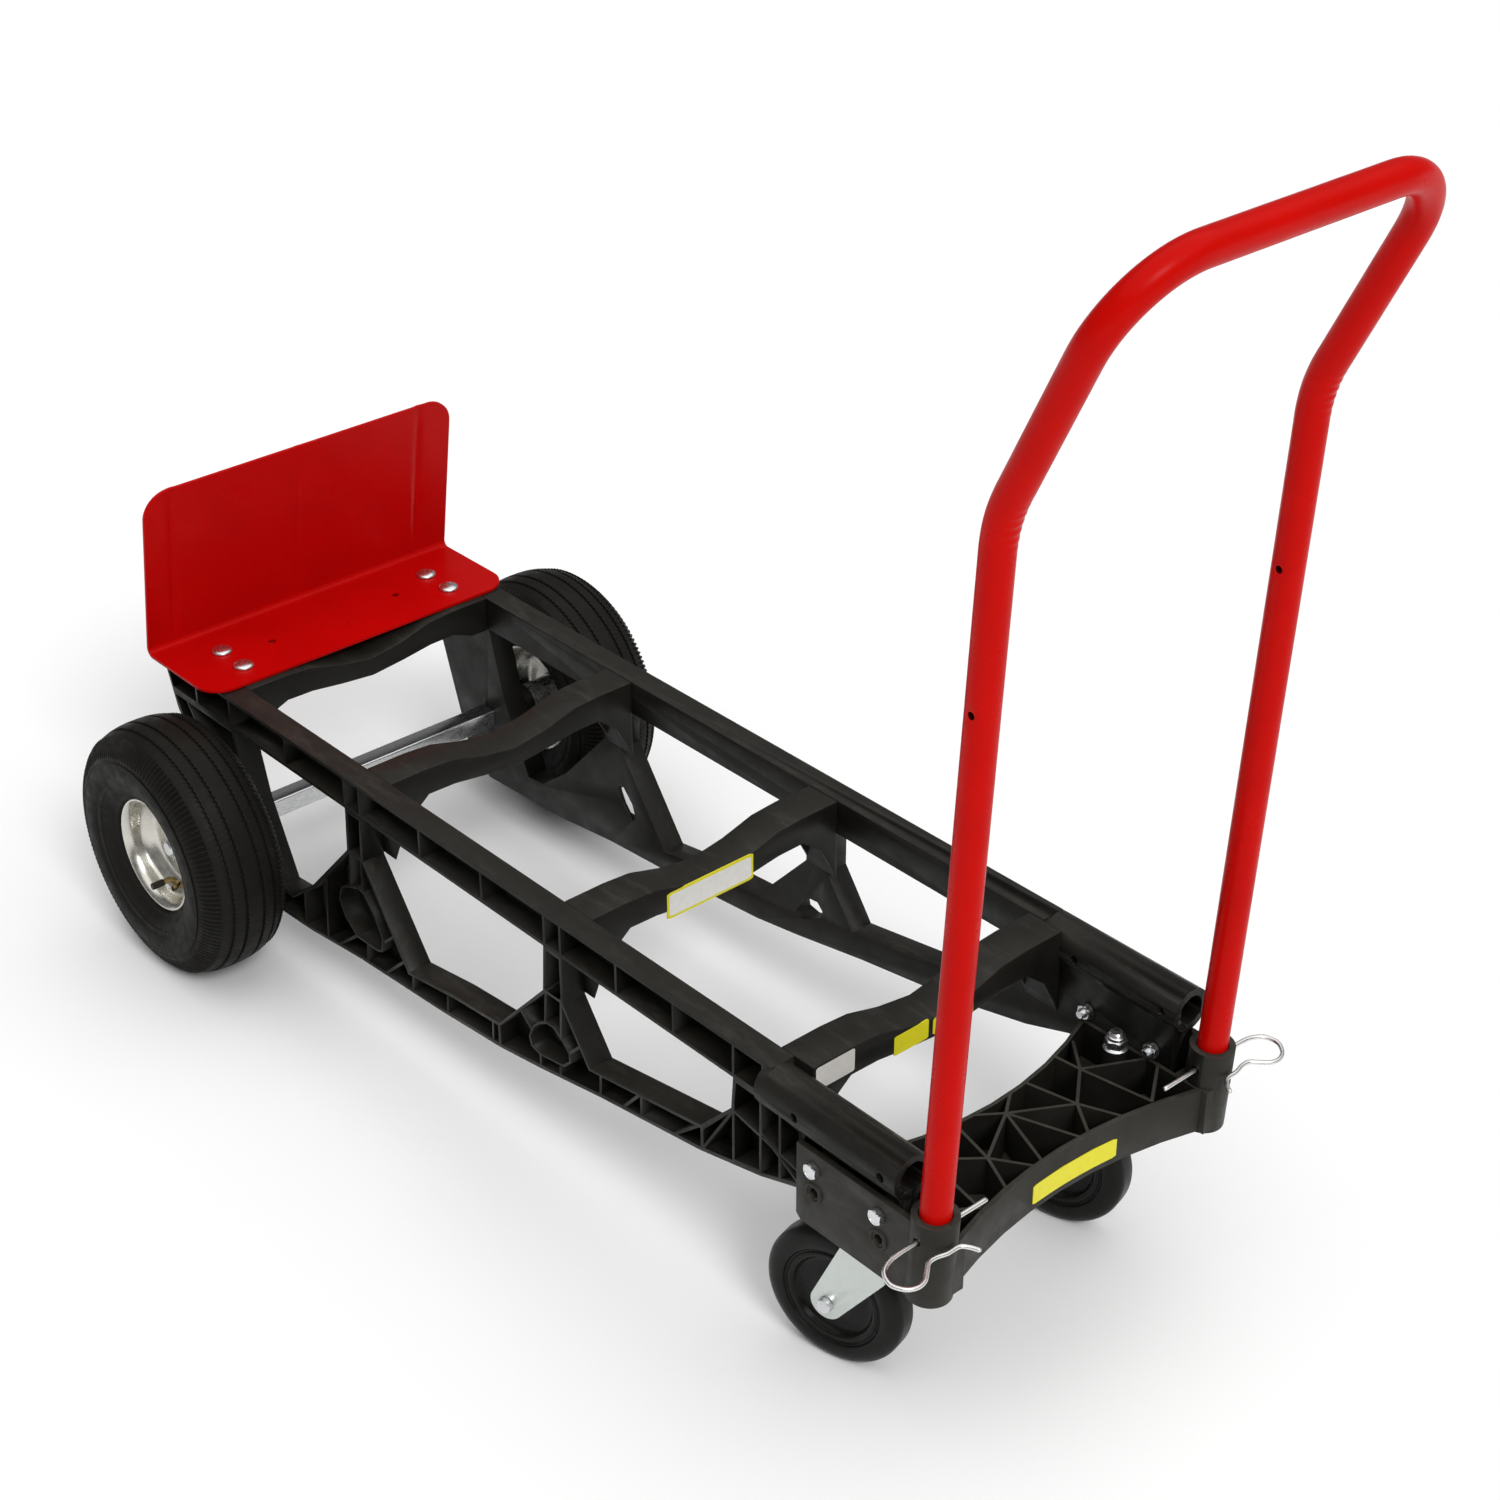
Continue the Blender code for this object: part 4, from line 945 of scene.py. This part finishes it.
def fork(tag):
    """A folded sheet with a pressed race on top; the wheel's axle is a trail's length behind the swivel."""
    swivel, roll, yaw = caster_axes(tag)
    trail = math.hypot(swivel.x - roll.x, swivel.y - roll.y)
    inside, outside = FORK_INSIDE, FORK_OUTSIDE
    thick = outside - inside
    top = corners(f"caster_{tag}_fork")[1].z - 6.6
    wheel_z = roll.z
    bend = 4.5

    def channel(half, height, radius):
        """Half a channel's section, from its foot up and round to the middle."""
        return [(half, 40.0)] + arc((half - radius, height - radius), radius, 0, 90, 6)

    outer = channel(outside, top, bend)
    inner = channel(inside, top - thick, bend - thick)
    section = outer + [(-y, z) for y, z in reversed(outer)]
    section += [(-y, z) for y, z in inner] + list(reversed(inner))
    body = prism("fork", section, "X", -trail - 40, 40, FORK)
    leg = arc((-trail, wheel_z), 15.0, 160, 322, 14)
    leg += [(11.0, wheel_z + 46), (11.0, wheel_z + 55), (17.0, top - 4), (17.0, top + 5), (-27.0, top + 5),
            (-30.0, top - 6)]
    boolean(body, [prism("outline", leg, "Y", -60, 60, FORK)], "INTERSECT")
    boolean(body, [bar("hole", (-trail, -30, wheel_z), (-trail, 30, wheel_z), 4.3, FORK, 24)])
    bevelled(body, 0.45, 40)
    shade(body)
    cup = [(-1.0, 6.0), (-2.0, 20.0), (-2.6, 23.0), (-2.2, 25.0), (-0.8, 26.2), (1.0, 26.5), (1.9, 26.2),
           (2.4, 25.2), (2.5, 20.5), (3.3, 19.2), (3.3, 6.0)]
    race = turned("race", [(top + z, r) for z, r in cup], 64, FORK)
    item = merged(f"caster_{tag}_fork_sheet", [body, race])
    put(item, (swivel.x, swivel.y, 0), (0, 0, yaw))
    fit(item, f"caster_{tag}_swivel", "zinc", f"caster_{tag}_fork")


def caster_axle(tag):
    """A round head on one side of the fork, and a hex nut on the other."""
    _, roll, yaw = caster_axes(tag)
    reach = FORK_OUTSIDE + 0.3
    rings = [level(5.2, -reach - 4.6), level(6.0, -reach - 4.8), level(6.6, -reach - 4.2),
             level(7.0, -reach - 1.2), level(7.0, -reach), level(4.0, -reach), level(4.0, reach),
             level(6.3, reach), level(6.3, reach + 0.3)]
    rings += hex_rings(12.6, reach + 0.4, reach + 4.6)
    rings += [level(4.2, reach + 4.7), level(3.9, reach + 5.8), level(3.4, reach + 6.0)]
    bolt = lofted(f"caster_{tag}_axle_bolt", rings, ZINC, smooth_angle=28)
    bolt.data.transform(Matrix.Rotation(math.radians(-90), 4, "X"))
    put(bolt, roll, (0, 0, yaw))
    fit(bolt, f"caster_{tag}_swivel", "zinc", f"caster_{tag}_axle")


def caster_wheel(tag):
    _, roll, yaw = caster_axes(tag)
    low, high = corners(f"caster_{tag}_tread")
    radius = (high.z - low.z) / 2
    out = [(TREAD_HALF - 1.2, 46.6), (TREAD_HALF - 0.5, 47.2), (TREAD_HALF, 48.4), (TREAD_HALF, 52.5)]
    for degrees in range(0, 91, 10):
        angle = math.radians(degrees)
        out.append((TREAD_HALF - 8.5 + 8.5 * math.cos(angle),
                    radius - TREAD_DEPTH + TREAD_DEPTH * math.sin(angle)))
    skin = out + [(0.0, radius)] + [(-a, r) for a, r in reversed(out)]
    tread = turned(f"caster_{tag}_tread_skin", skin, CASTER_SIDES, TREAD, "Y", smooth_angle=45)
    put(tread, roll, (0, 0, yaw))
    fit(tread, f"caster_{tag}_wheel", "caster_rubber", f"caster_{tag}_tread")

    face = [(17.0, 5.3), (17.0, 11.9), (16.4, 12.5), (9.0, 13.4), (8.0, 14.4), (7.0, 17.0), (6.3, 20.5),
            (6.0, 25.0), (6.0, 31.0), (6.5, 34.5), (8.0, 36.6), (11.0, 37.8), (12.2, 38.6), (12.9, 40.0),
            (13.1, 41.5), (12.6, 43.0), (11.6, 43.8), (11.6, 44.6), (12.6, 45.2), (12.8, 45.9)]
    profile = face + [(-a, r) for a, r in reversed(face)]
    core = turned(f"caster_{tag}_core", profile, CASTER_SIDES, CORE, "Y", smooth_angle=45)
    put(core, roll, (0, 0, yaw))
    fit(core, f"caster_{tag}_wheel", "caster_core", f"caster_{tag}_wheel_core")


for _, tag in SIDES:
    stem(tag)
    lock_nut(tag)
    fork(tag)
    caster_axle(tag)
    caster_wheel(tag)


# ---------------------------------------------------------------- handle


def handle():
    """One bent tube; its lower bends are wrinkled on the inside and its upper holes are dimpled."""
    low, high = corners("handle")
    tube, wall = 12.7, 1.6
    bend_z, upper_z = 821.4, 677.0  # heights of the lower bends and of the upper holes
    foot, bend, upper = leg_point(-1, low.z), leg_point(-1, bend_z), leg_point(-1, upper_z)
    corner = Vector((high.x - tube, -LEG_Y, high.z - tube))
    mirror = Matrix.Diagonal((1, -1, 1))
    knots = [foot, bend, corner]
    knots += [mirror @ knot for knot in reversed(knots)]
    path = rounded_path(knots, [130.0, 68.0, 68.0, 130.0], 5.0, 30)
    hollow = Vector((1, 0, -0.25)).normalized()  # the inside of the lower bend
    wrinkled = 30  # how far from the bend its wrinkles reach

    def worn(point, outward):
        offset = Vector((point.x - bend.x, 0, point.z - bend.z))
        fade = 1 - offset.length / wrinkled
        extra = 0.0
        if fade > 0:
            inside = max(0.0, outward.dot(hollow))
            extra -= inside ** 3 * math.cos(offset.z * 0.42) ** 2 * fade
            extra += 0.35 * (1 - inside) * fade
        hole_reach = abs(point.z - upper.z)
        if hole_reach < 12 and abs(point.x - upper.x) < 5:
            spread = math.hypot(hole_reach, tube * math.acos(min(1.0, abs(outward.y))))
            extra -= 1.9 * math.exp(-(spread / 5.6) ** 2)
        return extra

    item = swept("handle_tube", path, tube, 40, HANDLE_RED, shape=worn, bore=tube - wall)
    holes = []
    for z, size in ((PIN_Z, 3.4), (upper_z, 3.1)):
        for side in (-1, 1):
            at, across = leg_point(side, z), Vector((0, side * 20, 0))
            holes.append(bar("hole", at - across, at + across, size, HANDLE_RED, 24))
    boolean(item, holes)
    shade(item, 40)
    fit(item, "truck", "red_coat", "handle")


handle()


# ---------------------------------------------------------------- clips


def clip(side, tag):
    """A spring-wire clip: one straight leg through the socket, one sprung leg waved round it.

    Each knot of its route is (distance from the centre line, offset from the straight leg).
    """
    tilt = math.radians(-8)
    aside = Vector((math.cos(tilt), 0, math.sin(tilt)))
    route = [(104, 0), (125, 0), (150, 0), (175, 0), (190, 0), (200, 0.4), (209, 1.8), (218, 6.5),
             (222.5, 13.5), (223, 21), (217, 29.5), (208.5, 33), (200, 31.5), (192, 25.5), (185, 20.2),
             (177, 19.6), (167, 21.9), (155, 22.4), (149, 27.5), (145, 34)]
    knots = [Vector((PIN_X, side * y, PIN_Z)) + aside * offset for y, offset in route]
    item = swept(f"clip_{tag}_wire", smooth_path(knots, 6), 2.0, 20, WIRE, round_ends=4)
    fit(item, f"clip_{tag}", "zinc", f"clip_{tag}")


for side, tag in SIDES:
    clip(side, tag)


# ---------------------------------------------------------------- moulded frame

RECEIVER_Z = 250.0

def moulding(node, look):
    """A copy of a CAD moulding to work on."""
    item = bpy.data.objects.new(f"{node}_moulding", frame["nodes"][node].data.copy())
    bpy.context.scene.collection.objects.link(item)
    item.data.materials.clear()
    item.data.materials.append(look)
    weld = item.modifiers.new("weld", "WELD")
    weld.merge_threshold = 0.005 * MM
    merge = item.modifiers.new("flat", "DECIMATE")
    merge.decimate_type = "DISSOLVE"
    merge.angle_limit = math.radians(0.4)
    return applied(item)


def finished(item, node, width):
    """Softens a moulding's edges and puts it in the CAD node's place."""
    bevelled(item, width, 32)
    shade(item, 40)
    fit(item, "truck", "frame_plastic", node)


def side_frame(side, tag):
    """The receiver for the handle's leg, at the end of the rail, is made round again."""
    node = f"{tag}_side_frame"
    item = moulding(node, PLASTIC)
    y, z, end = side * LEG_Y, RECEIVER_Z, 455.0
    boolean(item, [bar("receiver", (304, y, z), (end, y, z), 20.05, PLASTIC)], "UNION")
    cuts = [bar("bore", (332, y, z), (end + 5, y, z), 13.4, PLASTIC)]
    for x in (343.0, 439.5):
        cuts.append(bar("pin_hole", (x, y - 30 * side, z), (x, y + 30 * side, z), 4.1, PLASTIC, 24))
    boolean(item, cuts)
    finished(item, node, 0.7)


def end_frame():
    """The sockets are made round again, and the lattice's pockets get the darker plastic as painted shade."""
    node = "end_frame"
    item = moulding(node, END_PLASTIC)
    sockets, bores, pin_holes = [], [], []
    for side in (-1, 1):
        sockets.append(bar("socket", leg_point(side, 150.45), leg_point(side, 230.05), 19.05, END_PLASTIC))
        bores.append(bar("bore", leg_point(side, 156.0), leg_point(side, 250.0), 13.5, END_PLASTIC))
        inner, outer = (PIN_X, side * 120, PIN_Z), (PIN_X, side * 200, PIN_Z)
        pin_holes.append(bar("pin_hole", inner, outer, 3.6, END_PLASTIC, 24))
    boolean(item, sockets, "UNION")
    boolean(item, bores + pin_holes)
    # Painted shade: faces inside the lattice that do not look straight up take the darker side-frame plastic.
    item.data.materials.append(PLASTIC)
    for face in item.data.polygons:
        spot = face.center / MM
        inside = abs(spot.y) < 150 and spot.x < 462 + END_BOW * spot.y ** 2
        if inside and face.normal.z < 0.9:
            face.material_index = 1
    finished(item, node, 0.7)


def hole_lips(side, tag):
    """Raised rings that the moulding has round the two spare holes of each side plate."""
    section = [(-0.3, 6.4), (0.7, 6.6), (1.5, 7.4), (1.5, 8.6), (0.6, 9.6), (-0.3, 9.8)]
    rings = []
    for x in (360.2, 433.2):
        ring = turned("lip", section, 40, END_PLASTIC, "Y")
        ring.data.transform(Matrix.Translation(Vector((x, 0, 182.5)) * MM))
        rings.append(ring)
    item = merged(f"{tag}_hole_lips", rings)
    item.data.transform(Matrix.Scale(side, 4, (0, 1, 0)))
    if side < 0:
        item.data.flip_normals()
    shade(item, 40)
    fit(put(item, (0, side * 173.0, 0)), "truck", "frame_plastic")


for _, tag in SIDES:
    tube = frame["nodes"][f"{tag}_inner_tube"]
    tube.data.materials.clear()
    tube.data.materials.append(CAP)
for place in ("toe", "front", "middle", "rear"):
    node = f"cross_member_{place}"
    finished(moulding(node, PLASTIC), node, 0.9)
for side, tag in SIDES:
    side_frame(side, tag)
    hole_lips(side, tag)
end_frame()


# ---------------------------------------------------------------- blank labels


def patch(name, surface, across, height, look, proud):
    """A thin patch on a face that looks along +X. surface(y) is that face's X, so the patch follows its bow."""
    count = 24
    notch = 1.2  # the corners are cut off by this much
    y0, y1 = across
    z0, z1 = height
    rings = []
    for k in range(count + 1):
        y = y0 + (y1 - y0) * k / count
        x = surface(y)
        face = x + proud + 0.12 * math.sin(math.pi * k / count)
        back = x - 0.8
        edge = notch if k in (0, count) else 0.0
        low, high = z0 + edge, z1 - edge
        rings.append([(back, y, low), (face, y, low), (face, y, high), (back, y, high)])
    item = lofted(name, rings, look, smooth_angle=30)
    fit(item, "truck", "frame_plastic")


def flat_on(node):
    """The X of the face that a cross member turns to the handle."""
    face = corners(node)[1].x
    return lambda y: face


middle_face, rear_face = flat_on("cross_member_middle"), flat_on("cross_member_rear")
border = 2.6
patch("label_middle", middle_face, (-60, 40), (232, 259), YELLOW, 0.15)
patch("label_middle_field", middle_face, (border - 60, 40 - border), (232 + border, 259 - border), WHITE, 0.3)
patch("label_rear_white", rear_face, (-140, -98), (246, 268), WHITE, 0.15)
patch("label_rear_yellow", rear_face, (-54, -15), (237, 256), YELLOW, 0.15)
patch("label_rear_yellow_far", rear_face, (-10, 37), (237, 253), YELLOW, 0.15)
patch("label_front", lambda y: 465.6 + END_BOW * y * y, (-35, 60), (160, 179), YELLOW, 0.15)


# ---------------------------------------------------------------- studio


def sun(name, azimuth, elevation, spread, power):
    """Light from far off. Azimuth is measured as the camera's is; spread is its disc's width in degrees."""
    light = bpy.data.lights.new(name, "SUN")
    light.angle = math.radians(spread)
    light.energy = power
    item = bpy.data.objects.new(name, light)
    bpy.context.scene.collection.objects.link(item)
    item.rotation_euler = outward(azimuth, elevation).to_track_quat("Z", "Y").to_euler()


def outward(azimuth, elevation):
    """The direction from the truck towards a viewer at an azimuth and elevation, in degrees."""
    a, e = math.radians(azimuth), math.radians(elevation)
    return Vector((math.sin(a) * math.cos(e), -math.cos(a) * math.cos(e), math.sin(e)))


def studio():
    mesh = bpy.data.meshes.new("floor")
    reach = 40.0
    mesh.from_pydata([(-reach, -reach, 0), (reach, -reach, 0), (reach, reach, 0), (-reach, reach, 0)], [],
                     [(0, 1, 2, 3)])
    floor = bpy.data.objects.new("floor", mesh)
    bpy.context.scene.collection.objects.link(floor)
    pale = bpy.data.materials.new("floor_look")
    pale.use_nodes = True
    shader = pale.node_tree.nodes["Principled BSDF"]
    shader.inputs["Base Color"].default_value = (0.93, 0.93, 0.93, 1)
    shader.inputs["Roughness"].default_value = 0.95
    shader.inputs["Specular IOR Level"].default_value = 0.1
    mesh.materials.append(pale)

    world = bpy.data.worlds.new("studio")
    bpy.context.scene.world = world
    world.use_nodes = True
    background = world.node_tree.nodes["Background"]
    background.inputs["Color"].default_value = (1, 1, 1, 1)
    background.inputs["Strength"].default_value = 0.2
    sun("key", 72, 40, 20, 1.35)
    sun("overhead", 100, 82, 100, 2.05)


def camera():
    """A view from the handle end, to the left and above."""
    roll = math.radians(-0.045)
    data = bpy.data.cameras.new("camera")
    data.lens, data.sensor_width = 66.94, 36.0
    item = bpy.data.objects.new("camera", data)
    bpy.context.scene.collection.objects.link(item)
    item.location = (1.6010, -1.3412, 1.6044)
    back = outward(48.398, 30.823)
    right = Vector((0, 0, 1)).cross(back).normalized()
    up = back.cross(right)
    turned_axes = Matrix((right, up, back)).transposed() @ Matrix.Rotation(roll, 3, "Z")
    item.rotation_euler = turned_axes.to_euler()
    bpy.context.scene.camera = item


studio()
camera()
bpy.context.scene.view_settings.view_transform = "Standard"
